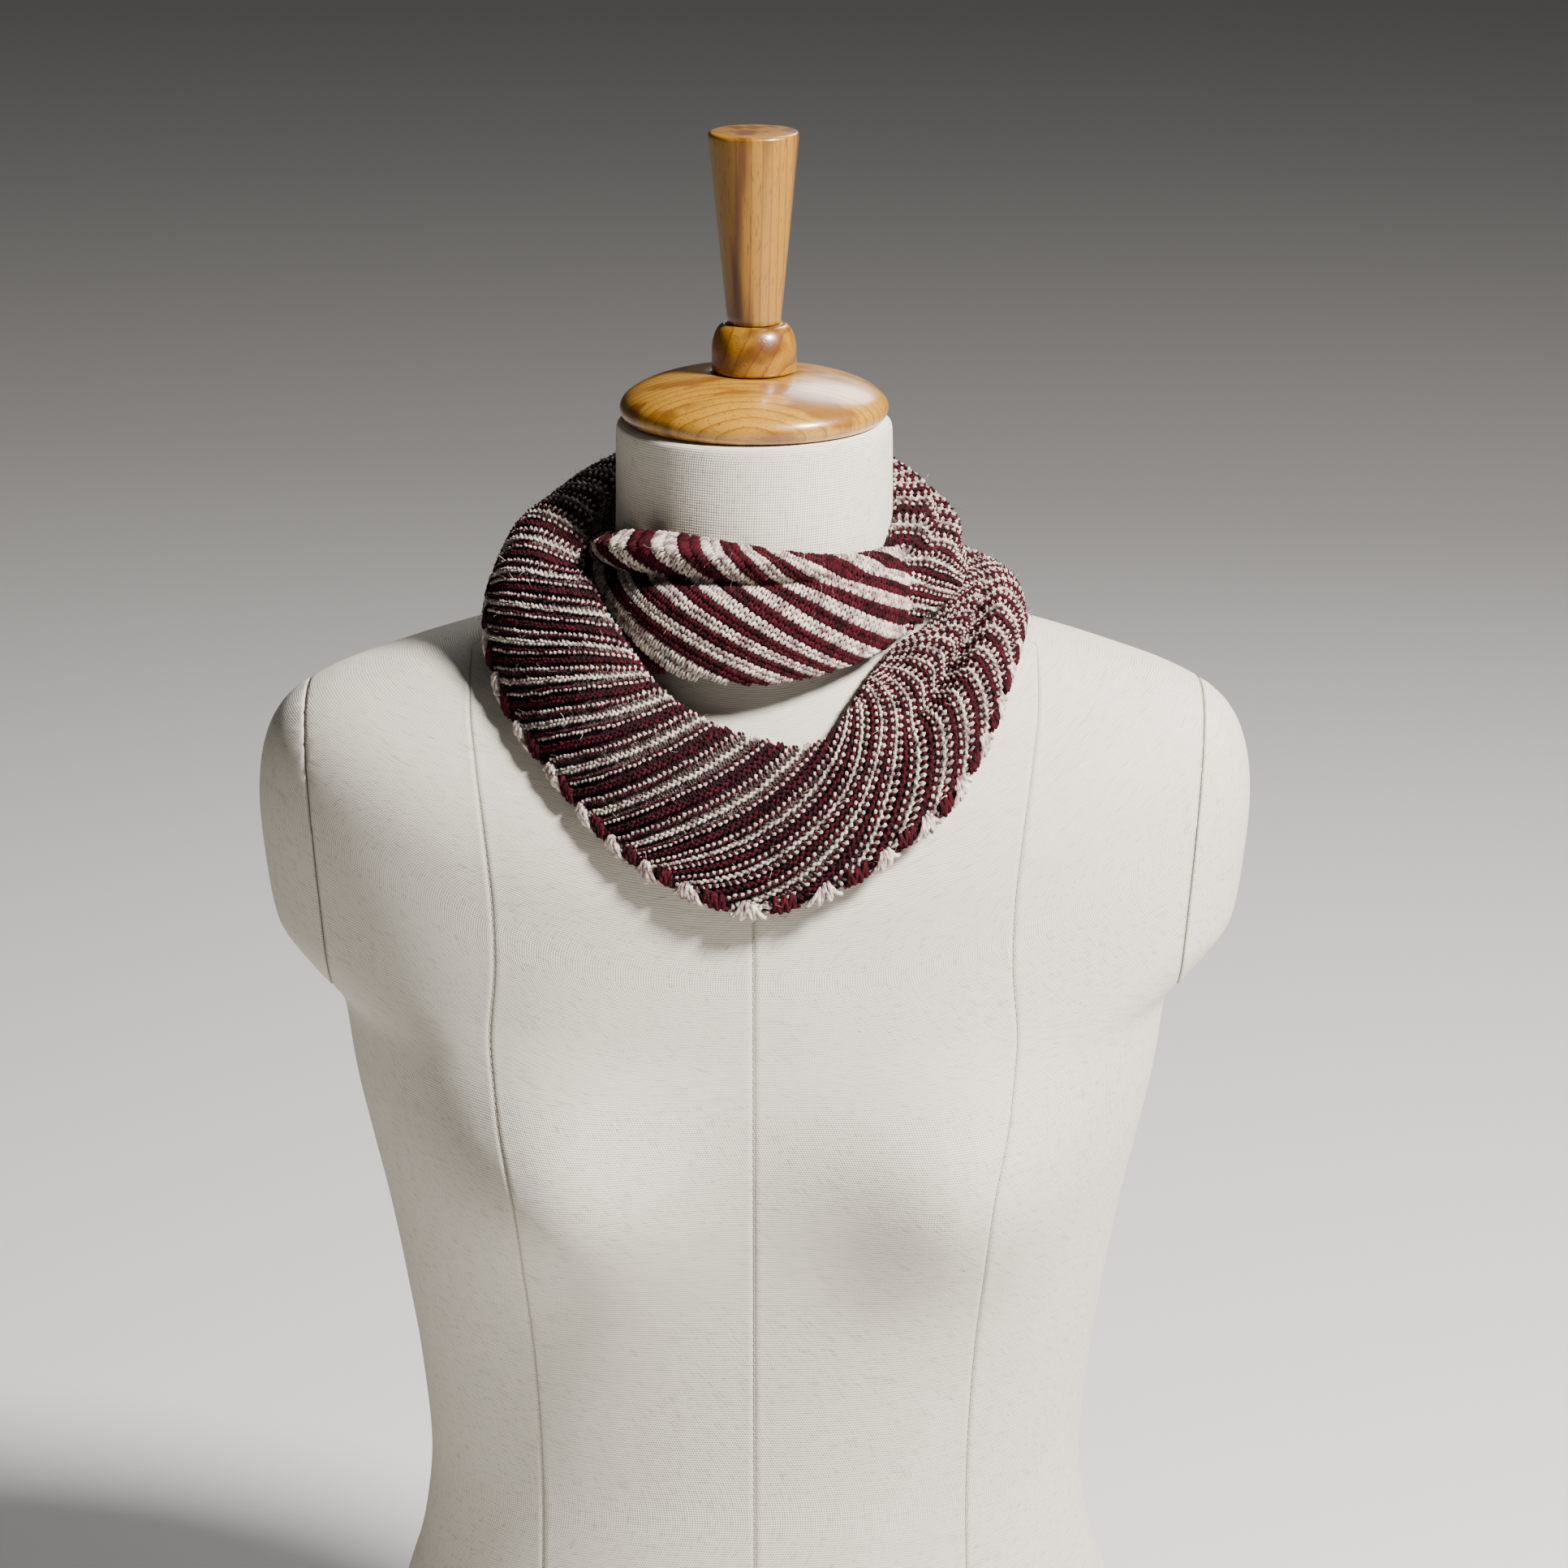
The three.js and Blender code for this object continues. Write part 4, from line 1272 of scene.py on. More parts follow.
def hump(v, place, width):
    """A round rise with 1 at its top."""
    return np.exp(-(((v - place) / width) ** 2))


def ramp(value, low, high):
    """A smooth step from 0 to 1."""
    share = np.clip((value - low) / (high - low), 0, 1)
    return share * share * (3 - 2 * share)


def within(at, begins, whole, wanes, gone):
    """1 where a fold is whole, 0 where there is none."""
    return ramp(at, begins, whole) * (1 - ramp(at, wanes, gone))


def soft_folds(at, v, row):
    """How far the face stands out at v, from 0 at the fold to 1 at the selvedge."""
    lift = row["bulge"] * 4 * v * (1 - v) * (1.25 - 0.5 * v)
    lift = lift + row["roll"] * hump(v, ROLL_PLACE, ROLL_WIDTH)
    lift = lift - row["depth"] * hump(v, row["crease"], CREASE_WIDTH)
    bunched = within(at, *BUNCHED)
    lift = lift + RIDGE_HEIGHT * bunched * (hump(v, 0.2, 0.07) + hump(v, 0.68, 0.08))
    # Two rolls with the valley between them, where the outer turn goes down on the right.
    rolled = within(at, *ROLLED)
    between = np.interp(at, [358, 385, 403], [0.04, 0.33, 0.42])
    valley = hump(v, between, VALLEY_WIDTH)
    high = ROLL_HEIGHT - 2.4 * ramp(v, between, between + 0.25)
    lift = lift + rolled * high * (1 - valley) * ramp(v, 0, 0.15) * (1 - ramp(v, 0.7, 1))
    # The top of the inner turn rolls over, and the cloth below it is tucked in under the roll.
    tucked = within(at, *TUCKED)
    c = row["crease"]
    roll = ramp(v, 0, 0.5 * c) * (1 - ramp(v, c - 0.035, c + 0.02))
    tuck = ramp(v, c - 0.02, c + 0.02) * (1 - ramp(v, c + 0.02, c + 0.3))
    lift = lift + tucked * TUCK_HEIGHT * roll
    return lift - tucked * TUCK_DEPTH * tuck


row = {name: float(BAND[name](385)) for name in BAND}
most = float(np.max(soft_folds(385, np.linspace(0, 1, 61), row)))
print("at 385 degrees the face stands out by up to", round(most, 1), "mm")

# %% [markdown]
# ### The band's outline
#
# Seen end on, the folded band is a long flat loop: the hidden layer, the round fold at the top,
# the face and the lip of the selvedge. Two plain layers would do from straight ahead, but fold
# and lip show how thick and soft the knitting is. So one line runs the whole way round, and is
# read off every millimetre, with the direction that faces out.

# %% The outline at one angle
ACROSS = np.arange(-150.0, 54.0)  # millimetres across the band, from its middle line
FACE_STEPS = 60


def band_outline(at):
    """Where the band's outside runs at one angle: points (radius, height) and outward normals."""
    row = {name: float(BAND[name](at)) for name in BAND}
    top, edge = np.array([row["topR"], row["topZ"]]), np.array([row["edgeR"], row["edgeZ"]])
    down = edge - top
    out = np.array([-down[1], down[0]]) / np.linalg.norm(down)
    v = np.linspace(0, 1, FACE_STEPS + 1)[:, None]
    face = top + v * down + out * soft_folds(at, v, row)
    along = np.gradient(face, axis=0)
    along /= np.linalg.norm(along, axis=1, keepdims=True)
    normal = np.stack([-along[:, 1], along[:, 0]], -1)
    half = THICK / 2
    turn = np.radians(np.linspace(180, 0, 19)[1:-1])[:, None]
    fold = face[0] - half * normal[0]
    fold = fold + half * (np.cos(turn + math.pi) * -normal[0] - np.sin(turn) * along[0])
    lip = np.radians(np.linspace(0, 160, 17)[1:])[:, None]
    end = face[-1] - half * normal[-1]
    end = end + half * (np.cos(lip) * normal[-1] + np.sin(lip) * along[-1])
    hidden = (face - THICK * normal)[::-1]
    line = np.concatenate([hidden, fold, face, end])
    step = np.concatenate([[0], np.cumsum(np.linalg.norm(np.diff(line, axis=0), axis=1))])
    first = len(hidden) + len(fold)
    q = step - step[first + FACE_STEPS // 2]
    points = np.stack([np.interp(ACROSS, q, line[:, i]) for i in (0, 1)], -1)
    slope = np.gradient(points, axis=0)
    slope /= np.linalg.norm(slope, axis=1, keepdims=True) + 1e-9
    limits = q[first], q[first + FACE_STEPS], q[0]
    return points, np.stack([-slope[:, 1], slope[:, 0]], -1), limits


print("an outline has", len(band_outline(START)[0]), "points, a millimetre apart")

# %% [markdown]
# ### Places along, across and out of the band
#
# Everything on the band is given by how far along its middle line (s), how far across it (q,
# from the fold at the top to the selvedge below) and how far out of the cloth. The outlines at
# every degree are a table of those places, and whatever lies between is read from it. A UV map
# would serve for a print on the cloth, but not for yarn that leaves it.

# %% The route laid out
ANGLES = np.arange(START, END + 0.5, 1.0)
outlines = [band_outline(at) for at in ANGLES]
LINE = np.array([o[0] for o in outlines])
NORMAL = np.array([o[1] for o in outlines])
FOLD_Q, EDGE_Q, HIDDEN_Q = np.array([o[2] for o in outlines]).T
MIDDLE = int(np.argmin(abs(ACROSS)))
turn = np.radians(ANGLES)
centre = np.stack([LINE[:, MIDDLE, 0] * np.cos(turn), -LINE[:, MIDDLE, 0] * np.sin(turn),
                   LINE[:, MIDDLE, 1]], -1)
LENGTHS = np.concatenate([[0], np.cumsum(np.linalg.norm(np.diff(centre, axis=0), axis=1))])
print(f"band: {LENGTHS[-1]:.0f} mm along its middle line, "
      f"{np.mean(EDGE_Q - FOLD_Q):.0f} mm from fold to selvedge")


def bilinear(table, i, j):
    i = np.clip(i, 0, table.shape[0] - 1.001)
    j = np.clip(j, 0, table.shape[1] - 1.001)
    i0, j0 = i.astype(int), j.astype(int)
    u, v = i - i0, j - j0
    if table.ndim == 3:
        u, v = u[..., None], v[..., None]
    return ((1 - u) * (1 - v) * table[i0, j0] + u * (1 - v) * table[i0 + 1, j0]
            + (1 - u) * v * table[i0, j0 + 1] + u * v * table[i0 + 1, j0 + 1])


def on_band(s, q, lift):
    """Points in space from places on the band."""
    s, q, lift = np.broadcast_arrays(*(np.asarray(value, float) for value in (s, q, lift)))
    i = np.interp(s, LENGTHS, np.arange(len(LENGTHS)))
    j = q - ACROSS[0]
    flat = bilinear(LINE, i, j) + bilinear(NORMAL, i, j) * lift[..., None]
    at = np.radians(START + i)
    return np.stack([flat[..., 0] * np.cos(at), -flat[..., 0] * np.sin(at), flat[..., 1]], -1)


def length_at(angle):
    return float(np.interp(angle, ANGLES, LENGTHS))


print("half way round it has run", round(length_at((START + END) / 2)), "mm")

# %% [markdown]
# ### How the courses lie
#
# A course is one row of knitting, a wale one column of stitches. A worn band isn't square: its
# courses cross it straight at the nape, lean along it across the chest, and trail behind at the
# selvedge where the weight pulls. A pattern laid square on the band would give it away as a
# tube. The table gives, by the angle on the route, the spacing of the courses on the middle
# line, the width of a stitch, and how much a course leans along at the fold, the middle and the
# selvedge.

# %% The table of courses
LATTICE_COLUMNS = ["at", "spacing", "stitch", "lean_fold", "lean", "lean_edge"]
LATTICE_ROWS = [
    [215, 3.2, 2.95, 0, 0, 0],
    [320, 3.3, 2.95, 0, 0, 0],
    [340, 3.3, 2.95, -0.6, -0.3, 0.3],
    [370, 3.3, 2.95, -1.0, -0.5, 0.3],
    [385, 3.3, 2.95, -0.9, -0.4, 0.7],
    [400, 3.1, 2.95, -0.6, -0.1, 1.3],
    [412, 3.2, 2.95, -0.37, 0.35, 1.9],
    [420, 3.8, 2.95, -0.2, 0.9, 2.3],
    [430, 5.0, 2.95, -0.05, 1.6, 2.4],
    [440, 5.8, 2.95, 0.7, 1.65, 1.9],
    [450, 5.9, 2.95, 1.5, 1.4, 1.3],
    [465, 5.9, 2.95, 1.15, 1.12, 1.1],
    [480, 5.4, 2.95, 0.8, 1.0, 1.15],
    [490, 5.2, 2.95, 0.75, 1.1, 1.4],
    [500, 5.2, 2.95, 1.0, 1.25, 1.5],
    [510, 5.2, 2.95, 1.3, 1.3, 1.45],
    [520, 4.7, 2.95, 1.15, 1.05, 1.2],
    [530, 4.3, 2.95, 0.8, 0.75, 0.9],
    [545, 3.9, 2.95, 0.6, 0.6, 0.7],
    [565, 3.7, 2.95, 0.4, 0.4, 0.5],
    [600, 3.7, 2.95, 0, 0, 0],
    [680, 3.5, 2.95, 0, 0.3, 1.0],
    [700, 3.5, 2.95, 0, 0.3, 1.0],
    [720, 3.7, 2.95, 0, 0, 0.2],
    [740, 4.4, 2.95, -0.4, -0.8, -0.7],
    [755, 4.8, 2.95, -0.7, -1.2, -1.2],
    [770, 5.1, 2.95, -0.9, -1.6, -1.8],
    [790, 4.9, 2.95, -0.6, -1.4, -1.9],
    [810, 5.2, 2.95, -0.5, -1.5, -2.0],
    [830, 6.2, 2.95, -0.6, -2.0, -2.3],
    [850, 6.9, 2.95, -0.9, -2.3, -2.6],
    [865, 7.0, 2.95, -1.1, -2.3, -2.6],
    [880, 6.2, 2.95, -0.8, -1.7, -1.9],
    [905, 4.8, 2.95, -0.3, -0.9, -1.0],
    [935, 3.5, 2.95, 0, 0, 0],
]
LATTICE = table_curves(LATTICE_COLUMNS, LATTICE_ROWS)
REACH = 36.0  # from the middle line to where the leans at the fold and selvedge are given
PAST_REACH = 6  # how much further a course keeps leaning
print("spacing of the courses:", min(row[1] for row in LATTICE_ROWS), "to",
      max(row[1] for row in LATTICE_ROWS), "mm")

# %% [markdown]
# ### Counting courses and wales along the band
#
# Walking along the middle line, each millimetre passes a part of a course. Where the courses
# lean, it also moves sideways by a part of a stitch, and the wales have to be counted on as
# well, or they would tear apart from one course to the next.

# %% Courses and wales passed
FINE = 12  # steps of a course in the tables below
STITCH_STEP = 0.25

spots = np.linspace(0, LENGTHS[-1], 4001)
spot_angles = np.interp(spots, LENGTHS, ANGLES)
spacing = LATTICE["spacing"](spot_angles)
COURSES = np.concatenate([[0], np.cumsum(np.diff(spots) * 2 / (spacing[1:] + spacing[:-1]))])
course_lean = LATTICE["lean"](spot_angles)
sideways = course_lean / np.sqrt(1 + course_lean**2) / LATTICE["stitch"](spot_angles)
WALES = np.concatenate([[0], np.cumsum(np.diff(spots) * (sideways[1:] + sideways[:-1]) / 2)])
BANDWIDTH = np.arange(-62.0, 53.0)  # where the yarn may lie, across
MIDDLE_LINE = int(-BANDWIDTH[0])
COURSE_STEPS = np.arange(0, COURSES[-1], 1 / FINE)
STITCH_STEPS = np.arange(-46, 46, STITCH_STEP)
print(f"{COURSES[-1]:.0f} courses, and {WALES[-1]:.0f} wales gained on the way")

# %% [markdown]
# ### From courses and wales to places
#
# The knitting is built by course and wale, so a table turns those into places on the band. Each
# course is followed across, leaning as it goes, and stitches are marked off along it. The other
# way round, from a place to its course, gives the wall behind the loops the same stripes.

# %% The table of places
def lean_shift(angle, q):
    """How far along the band a course has drifted at q, from where it crosses the middle line."""
    near, mid, far = (LATTICE[k](angle) for k in ("lean_fold", "lean", "lean_edge"))
    held = np.clip(q, -REACH - PAST_REACH, REACH + PAST_REACH)
    below = mid * held + (far - mid) * held**3 / (3 * REACH**2)
    above = mid * held - (near - mid) * held**2 / (2 * REACH)
    return np.where(held > 0, below, above)


def lattice_tables():
    """For fine steps of courses and stitches: how far along and across the band they are."""
    start = np.interp(COURSE_STEPS, COURSES, spots)
    angle = np.interp(start, LENGTHS, ANGLES)
    s = start[:, None] + lean_shift(angle[:, None], BANDWIDTH[None, :])
    i = np.interp(s, LENGTHS, np.arange(len(LENGTHS)))
    radius = bilinear(LINE[..., 0], i, np.broadcast_to(BANDWIDTH - ACROSS[0], s.shape))
    middle = slice(MIDDLE_LINE, MIDDLE_LINE + 1)
    reach = np.diff(s, axis=1) * (radius[:, 1:] + radius[:, :-1]) / 2 / radius[:, middle]
    run = np.concatenate([np.zeros((len(s), 1)), np.cumsum(np.hypot(reach, 1.0), axis=1)], axis=1)
    run -= run[:, middle]
    stitches = run / LATTICE["stitch"](angle)[:, None]
    along = np.empty((len(s), len(STITCH_STEPS)))
    across = np.empty_like(along)
    for k in range(len(s)):
        across[k] = np.interp(STITCH_STEPS, stitches[k], BANDWIDTH, left=-99, right=99)
        along[k] = np.interp(across[k], BANDWIDTH, s[k])
    return along, across


ALONG, ACROSS_AT = lattice_tables()


def knit_place(course, wale):
    """Along and across the band, from a place counted in courses and stitches."""
    offset = np.interp(np.interp(course, COURSES, spots), spots, WALES)
    i = np.asarray(course, float) * FINE
    j = (np.asarray(wale, float) - offset - STITCH_STEPS[0]) / STITCH_STEP
    return bilinear(ALONG, i, j), bilinear(ACROSS_AT, i, j)


def course_at(s, q):
    """The course that passes a place on the band, for one q and many s."""
    passed = spots + lean_shift(spot_angles, q)
    return np.interp(s, passed, COURSES)


for q in (-34, -20, 0, 18, 32):
    gained = np.diff(spots + lean_shift(spot_angles, q)) / np.diff(spots)
    worst = int(np.argmin(gained))
    print(f"at q {q} the least room between courses is {gained[worst]:.2f} of their spacing, "
          f"at {spot_angles[worst]:.0f} degrees")

# %% [markdown]
# ### The folded cloth
#
# Each stretch has the cloth itself: a thin folded wall, in the CAD solid's place, with the same
# stripes in the same courses. The yarn's loops lie on its outside. Loops alone would let the
# form shine through, and a solid band would have no edge to look into. The hidden layer keeps
# the wall alone, because nothing shows of it.

# %% The wall under the loops
STRETCHES = [  # name, where it starts and ends on the route, what it lies on
    ("cowl_inner_back", 215, 320, ["torso_canvas"]),
    ("cowl_outer_right", 320, 405, ["torso_canvas"]),
    ("cowl_outer_front", 405, 495, ["torso_canvas"]),
    ("cowl_outer_left", 495, 585, ["torso_canvas"]),
    ("cowl_outer_back", 585, 665, ["torso_canvas"]),
    ("cowl_inner_right", 665, 760, ["torso_canvas"]),
    ("cowl_inner_front", 760, 860, ["torso_canvas"]),
    ("cowl_inner_left", 860, 935, ["torso_canvas"]),
]
SKIN_OUT, SKIN_IN = -1.9, -3.1  # the wall's two faces, from the outside of the loops
WALL_STEPS = 60  # points across the wall
WALL_STITCH = 3.5


def there_and_back(values):
    return np.concatenate([values, values[::-1]])


def cloth_wall(name, start, end):
    angles = np.linspace(start, end, int((end - start) / 2) + 1)
    points, courses, wales = [], [], []
    for at in angles:
        s = length_at(at)
        low, high = (np.interp(at, ANGLES, edge) for edge in (HIDDEN_Q, EDGE_Q))
        q = np.linspace(low, high, WALL_STEPS)
        outside, inside = (on_band(s, q, lift) for lift in (SKIN_OUT, SKIN_IN))
        points.append(np.concatenate([outside, inside[::-1]]))
        courses.append(there_and_back(np.array([course_at(s, v) for v in q])))
        wales.append(there_and_back(q) / WALL_STITCH)
    ring = 2 * WALL_STEPS
    faces = grid_faces(len(angles), ring)
    for first, flip in ((0, False), ((len(angles) - 1) * ring, True)):
        for j in range(WALL_STEPS - 1):
            face = (first + j, first + j + 1, first + ring - 2 - j, first + ring - 1 - j)
            faces.append(face[::-1] if flip else face)
    attributes = {"row": np.concatenate(courses), "wale": np.concatenate(wales)}
    return outward(mesh_object(name, np.concatenate(points), faces, BACKING, attributes))


print("stretches:", ", ".join(name for name, *_ in STRETCHES))

# %% [markdown]
# ### The loops
#
# In each course the yarn runs across the cloth as a row of loops. Each loop's feet lie behind
# the course below and its head behind the course above, which is the purl side, and its two legs
# lie in front, the knit side. One curve gives all of that: it swings up and down, narrows at the
# neck of the loop, and goes in and out twice a stitch. Copies of one modelled stitch would leave
# a seam at each, and couldn't stretch with the cloth. The outer turn wears its purl side out,
# the inner turn its knit side, and they change over beside the neck on the right.

# %% The size of a loop
YARN_RADIUS = {"cream": 0.72, "burgundy": 0.80}
PURL_HEIGHT, KNIT_HEIGHT = 0.67, 0.78  # half of a loop, in courses
PURL_LEAN, KNIT_LEAN = 0.07, 0.22  # how far its legs lean, in stitches
LOOP_DEPTH = 1.4
LOOP_LEVEL = -1.25  # the middle of the loops, from the outside
CHANGE_OVER = 753  # where on the route the knit side comes out
KNOTTED = (325, 700)  # where on the route the selvedge shows its knots
BORDER = 2.2  # how far short of the selvedge the loops end, under its knots
LIP = 3.5  # how far past the selvedge they go where there are no knots
WRAP = 7.0  # how far round the fold they go
JITTER_COURSES, JITTER_WALES = 400, 200
random = np.random.default_rng(20)
JITTER = random.normal(0, 1, (4, JITTER_COURSES, JITTER_WALES))
print("loops are", 2 * PURL_HEIGHT, "courses high in purl and", 2 * KNIT_HEIGHT, "in knit")


def side_out(s, q):
    """1 where the purl side is out, -1 where the knit side is."""
    return -np.tanh((s - length_at(CHANGE_OVER) - 0.7 * q) / 6)


def limits_at(s):
    """The fold, the selvedge and whether it is knotted, at places along the band."""
    steps = np.arange(len(ANGLES))
    i = np.interp(s, LENGTHS, steps)
    knotted = (START + i > KNOTTED[0]) & (START + i < KNOTTED[1])
    return np.interp(i, steps, FOLD_Q), np.interp(i, steps, EDGE_Q), knotted


# %% [markdown]
# ### One course of yarn
#
# The yarn's whole shape is in four waves of the same beat: up and down once a stitch, sideways
# twice, so that the legs lean and the neck closes, and in and out twice. Small jitter for every
# stitch, always the same, keeps the rows from looking machined. Where the yarn turns sharply it
# gets more points, so that a loop can do with few.

# %% The path of a course
RISE_JITTER, PUSH_JITTER = 0.05, 0.13


def loop_points(course, first, last, steps, crowding):
    """The yarn of one course between two stitches: its height in courses, its place across in
    stitches, how far out it swings, how uneven it is there and how much of it is leg."""
    t = np.linspace(first, last, (last - first) * steps + 1)
    t = t - crowding * np.sin(4 * math.pi * t) / (2 * math.pi)  # more points where the yarn turns
    phase = 2 * math.pi * (t - np.floor(t))
    head = np.sin(phase / 2) ** 2
    cell = np.floor(t).astype(int) % JITTER_WALES
    follow = (cell + 1) % JITTER_WALES
    part = t - np.floor(t)
    up, out, foot_up, foot_out = JITTER[:, course % JITTER_COURSES]

    def uneven(heads, feet):
        between_feet = (1 - part) * feet[cell] + part * feet[follow]
        return head * heads[cell] + (1 - head) * between_feet

    rise, push = RISE_JITTER * uneven(up, foot_up), PUSH_JITTER * uneven(out, foot_out)
    purl = (1 + side_out(*knit_place(np.full(t.shape, course + 0.5), t))) / 2
    wale = t + (PURL_LEAN * purl + KNIT_LEAN * (1 - purl)) * np.sin(2 * phase)
    height = course + 0.5 - (PURL_HEIGHT * purl + KNIT_HEIGHT * (1 - purl)) * np.cos(phase) + rise
    leg = np.clip(2.2 * (1 - abs(np.cos(phase))), 0, 1)
    return height, wale, np.clip((1 + crowding) * np.cos(2 * phase), -1, 1), push, leg


print("two stitches take", len(loop_points(1, 0, 2, 8, 0.25)[0]), "points")

# %% [markdown]
# ### All courses of a stretch
#
# Each course is laid across the band from the fold to the selvedge, two in cream and two in
# burgundy, and cut where a stretch begins and ends. What lies deep is marked, for the painted
# shade in the wool's colour: on the purl side the legs behind, on the knit side whatever dips
# below the middle.

# %% The yarn of a stretch
MOST_WALES = 480  # counted each way from the middle line


def runs_of(keep):
    """Where a row of truths holds without a break, as (first, last)."""
    edges = np.flatnonzero(np.diff(np.concatenate([[0], keep.astype(int), [0]])))
    return list(zip(edges[::2], edges[1::2]))


def yarn_of(start, end, steps, crowding):
    """The yarn paths of a stretch, for cream and for burgundy."""
    first_s, last_s = length_at(start), length_at(end)
    paths = {"cream": [], "burgundy": []}
    wales = np.arange(-MOST_WALES, MOST_WALES)
    for course in range(1, int(COURSES[-1]) - 1):
        s, q = knit_place(np.full(wales.shape, course + 0.5), wales + 0.5)
        fold, edge, knotted = limits_at(s)
        high = edge + np.where(knotted, -BORDER, LIP)
        keep = (q > fold - WRAP) & (q < high) & (s >= first_s) & (s < last_s)
        colour = "cream" if course % 4 < 2 else "burgundy"
        for first, last in runs_of(keep):
            height, wale, swing, push, leg = loop_points(
                course, wales[first], wales[last - 1] + 1, steps, crowding)
            s_path, q_path = knit_place(height, wale)
            side = side_out(s_path, q_path)
            lift = LOOP_LEVEL + side * (LOOP_DEPTH * swing) + push
            # How deep the yarn lies, which the wool turns into painted shade.
            below = np.clip((LOOP_LEVEL - lift) / LOOP_DEPTH, 0, 1)
            deep = np.where(side > 0, side * leg, below)
            paths[colour].append(np.column_stack([on_band(s_path, q_path, lift), deep]))
    return paths


print("the yarn of one stretch starts after", round(length_at(STRETCHES[1][1])), "mm")

# %% [markdown]
# ### The knotted selvedge
#
# Along the outer turn's lower edge each pair of courses ends in a small hard knot of its own
# colour, where the yarn turns back and is worked round the edge. A bead would have the place and
# the colour of a knot but not its look, so each one is a few tight V's in two layers with a
# strand round the rim. The cream ones fan out and stand a little proud.

# %% Where the knots lie
KNOT_SHIFT = -1.2  # from the selvedge to the middle line of the knots
EVENED = 5  # a knot's place is evened out with fewer pairs than this on each side


def edge_spot(course, shift):
    """Where a place counted in courses comes out at the edge, along the band."""
    start = np.interp(course, COURSES, spots)
    angle = np.interp(start, LENGTHS, ANGLES)
    s = start
    for _ in range(4):
        s = start + lean_shift(angle, limits_at(s)[1] + shift)
    return float(s)


def even_spots(shift, ahead):
    """The ends of the pairs of courses along the edge, evened out over a few pairs."""
    pairs = range(int(COURSES[-1] / 2))
    found = np.array([edge_spot(2.0 * pair + ahead, shift) for pair in pairs])
    padded = np.pad(found, EVENED - 1, mode="reflect", reflect_type="odd")
    return np.convolve(padded, np.bartlett(2 * EVENED + 1)[1:-1] / EVENED, mode="valid")


print("pairs of courses to end in a knot:", len(even_spots(KNOT_SHIFT, 0.0)))

# %% [markdown]
# ### One knot
#
# A knot's strand goes up and down three times between its two ends, once in front and once
# behind, flattened at the corners, and a last strand bends round below it. The same jitter as
# the loops' makes each knot a little different.

# %% The strands of the knots
KNOT_STITCHES = 3
KNOT_POINTS = 12  # in a stitch
KNOT_RADIUS = 1.04
KNOT_HEIGHT = 1.5  # out of a knot's middle
KNOT_LEVEL = -1.0  # the middle of a knot, from the outside of the cloth
PROUD = 1.0  # how far the cream knots stand out, and the burgundy ones in
WIDEST_KNOT = 5.6  # half of it
CREAM_SPREAD, BURGUNDY_SPREAD = (3.8, 0.4), (3.2, -0.12)  # reach across, and how far it fans out


def knots_of(start, end, shift=KNOT_SHIFT, level=KNOT_LEVEL, ahead=0.0):
    first_s, last_s = length_at(start), length_at(end)
    paths = {"cream": [], "burgundy": []}
    ends = even_spots(shift, ahead)
    for pair in range(1, len(ends) - 1):
        pale = pair % 2 == 0
        near, far = ends[pair], ends[pair + 1]
        here = (near + far) / 2
        if not first_s <= here < last_s:
            continue
        stands = shift + (PROUD if pale else -PROUD)
        edge = [float(limits_at(s)[1]) for s in (near, here, far)]
        half = min((far - near) / 2 + (0.2 if pale else -0.4), WIDEST_KNOT)
        reach, fan = CREAM_SPREAD if pale else BURGUNDY_SPREAD
        slope = (edge[2] - edge[0]) / (far - near)
        wobble = JITTER[:, pair % JITTER_COURSES, :3]
        strands = paths["cream" if pale else "burgundy"]
        t = np.linspace(-1, 1, KNOT_STITCHES * KNOT_POINTS + 1)
        turns = math.pi * KNOT_STITCHES * t
        for layer in (1, -1):
            along = half * t * (0.78 - fan * np.cos(turns)) + 0.35 * wobble[0, 0]
            across = -reach * np.cos(turns) * (1 - 0.25 * t * t) + 0.35 * wobble[1, 1]
            across = across + 0.5 * np.sin(turns * 1.7 + wobble[2, 0])
            round_off = (across / reach) ** 2 + t * t
            out = layer * (KNOT_HEIGHT + 0.35 * np.sin(turns * 2)) - 0.55 * round_off
            q = edge[1] + stands + slope * along + across
            strands.append(on_band(here + along, q, level + out))
        t = np.linspace(-1, 1, KNOT_POINTS + 1)
        along = half * t
        across = reach + 0.2 - 0.7 * t * t + 0.4 * np.sin(6 * t + wobble[3, 1])
        q = edge[1] + stands + slope * along + across
        strands.append(on_band(here + along, q, level - 0.9 + 0.4 * np.cos(7 * t + wobble[3, 2])))
    return paths


print("a knot's strand has", KNOT_STITCHES * KNOT_POINTS + 1, "points")

# %% [markdown]
# ### Yarn and fibres for a stretch
#
# A stretch's yarn, its knots and the loose fibres on them are separate pieces for each colour,
# so that none grows past what an export or a viewer handles well. Points go where they are seen:
# a purl stitch needs few, a knit stitch more, and the nape gets a plainer section.

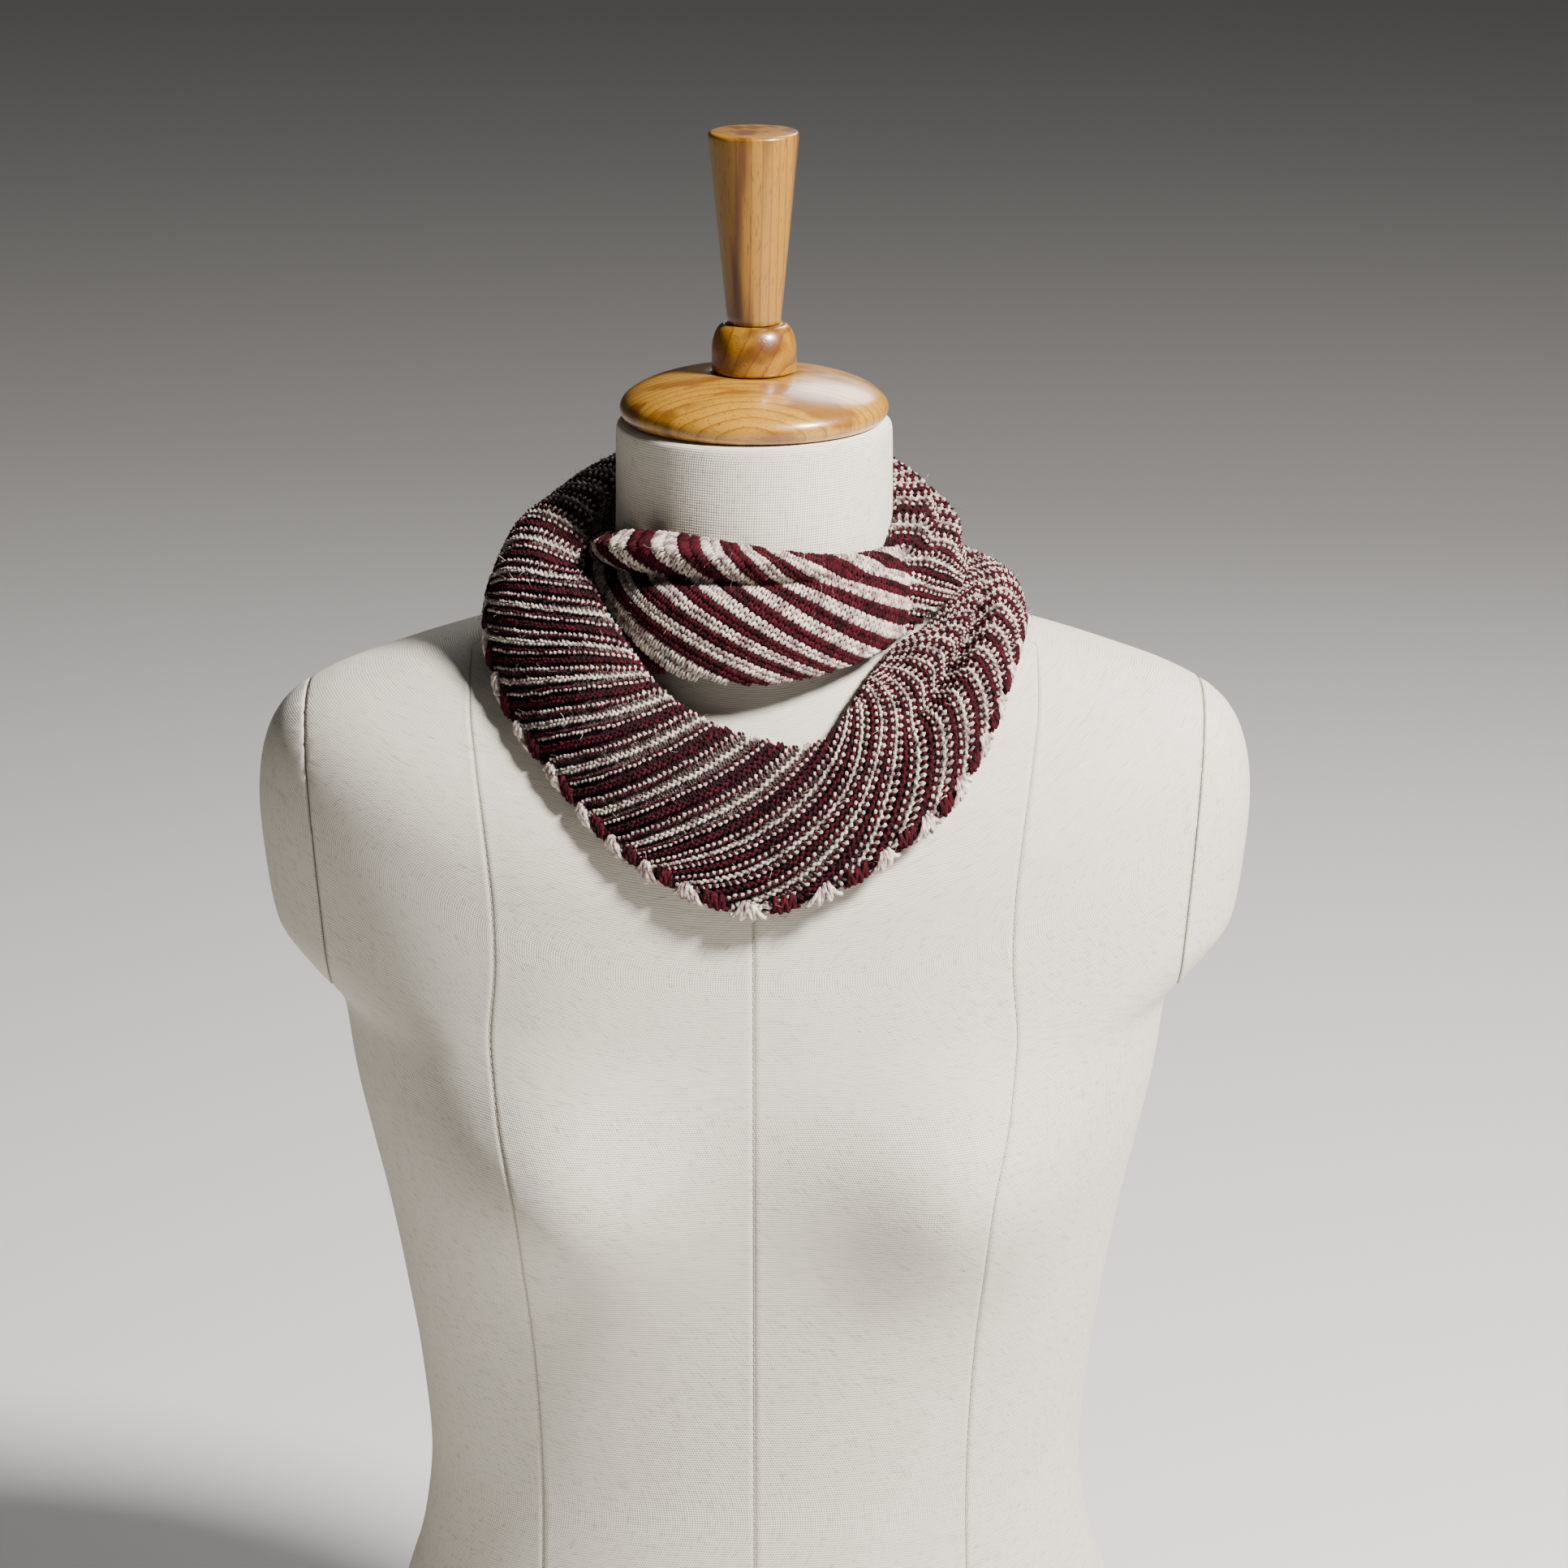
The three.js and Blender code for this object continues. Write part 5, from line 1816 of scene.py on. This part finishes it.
# %% Growing the knitting
NO_PATHS = {"cream": [], "burgundy": []}
PURL_STEPS, KNIT_STEPS = (8, 0.25), (10, 0.0)  # points in a loop, and how they crowd to its ends
LAST_PURL = 760  # where on the route the last stretch with its purl side out ends
YARN_SIDES, KNOT_SIDES = {"cowl_outer_back": 4}, 6  # 5 where no stretch is named
UNEVENNESS = 0.25
FIBRES_IN_ALL = 6000
YARN_AREA = 0.42  # square metres of yarn in sight, in all
FIBRE_THICKNESS, FIBRE_LENGTH = 0.00005, 0.0032
report = []


def paths_of(name, start, end):
    """The yarn paths of a stretch and those of its knots."""
    loops = yarn_of(start, end, *(PURL_STEPS if end <= LAST_PURL else KNIT_STEPS))
    knots = knots_of(start, end) if "outer" in name else NO_PATHS
    if name == "cowl_outer_front":  # the hidden layer's selvedge shows below the other
        behind = knots_of(438, 482, shift=2.8, level=-5.2, ahead=2.0)
        knots = {colour: knots[colour] + behind[colour] for colour in knots}
    return loops, knots


def knitted(name, start, end):
    """The yarn, knots and fibres of a stretch, as finished pieces."""
    loops, knots = paths_of(name, start, end)
    pieces = []
    for colour, look in WOOLS.items():
        for kind, lines, radius, sides in (
                ("yarn", loops[colour], YARN_RADIUS[colour], YARN_SIDES.get(name, 5)),
                ("knots", knots[colour], KNOT_RADIUS, KNOT_SIDES)):
            if not lines:
                continue
            yarn = grown(f"{name}_{kind}_{colour}", path_mesh(lines), YARN_TREE, {
                "Radius": radius * MM, "Sides": sides, "Unevenness": UNEVENNESS,
                "Material": look})
            pieces.append(finished(yarn, "knit"))
            report.append((yarn.name, triangles(yarn)))
            fuzz = grown(f"{name}_{kind}_fibres_{colour}", yarn.data.copy(), FIBRE_TREE, {
                "Density": FIBRES_IN_ALL / YARN_AREA, "Thickness": FIBRE_THICKNESS,
                "Length": FIBRE_LENGTH, "Seed": len(report), "Material": look})
            if triangles(fuzz):
                pieces.append(finished(fuzz, "knit"))
                report.append((fuzz.name, triangles(fuzz)))
    return pieces


print("fibres to a square metre of yarn:", round(FIBRES_IN_ALL / YARN_AREA))

# %% [markdown]
# ### The eight stretches
#
# Each stretch is a sheet of cloth with its yarn on it, but the inner back is the cloth alone.

# %% The pieces of the neck warmer
for name, start, end, rests_on in STRETCHES:
    wall = finished(cloth_wall(f"{name}_cloth", start, end), "knit", name)
    pieces = [] if name == "cowl_inner_back" else knitted(name, start, end)
    report.append((wall.name, triangles(wall)))
for name, count in report:
    print(name, count)
print("in all", sum(count for _, count in report), "triangles of knitting")

# %% [markdown]
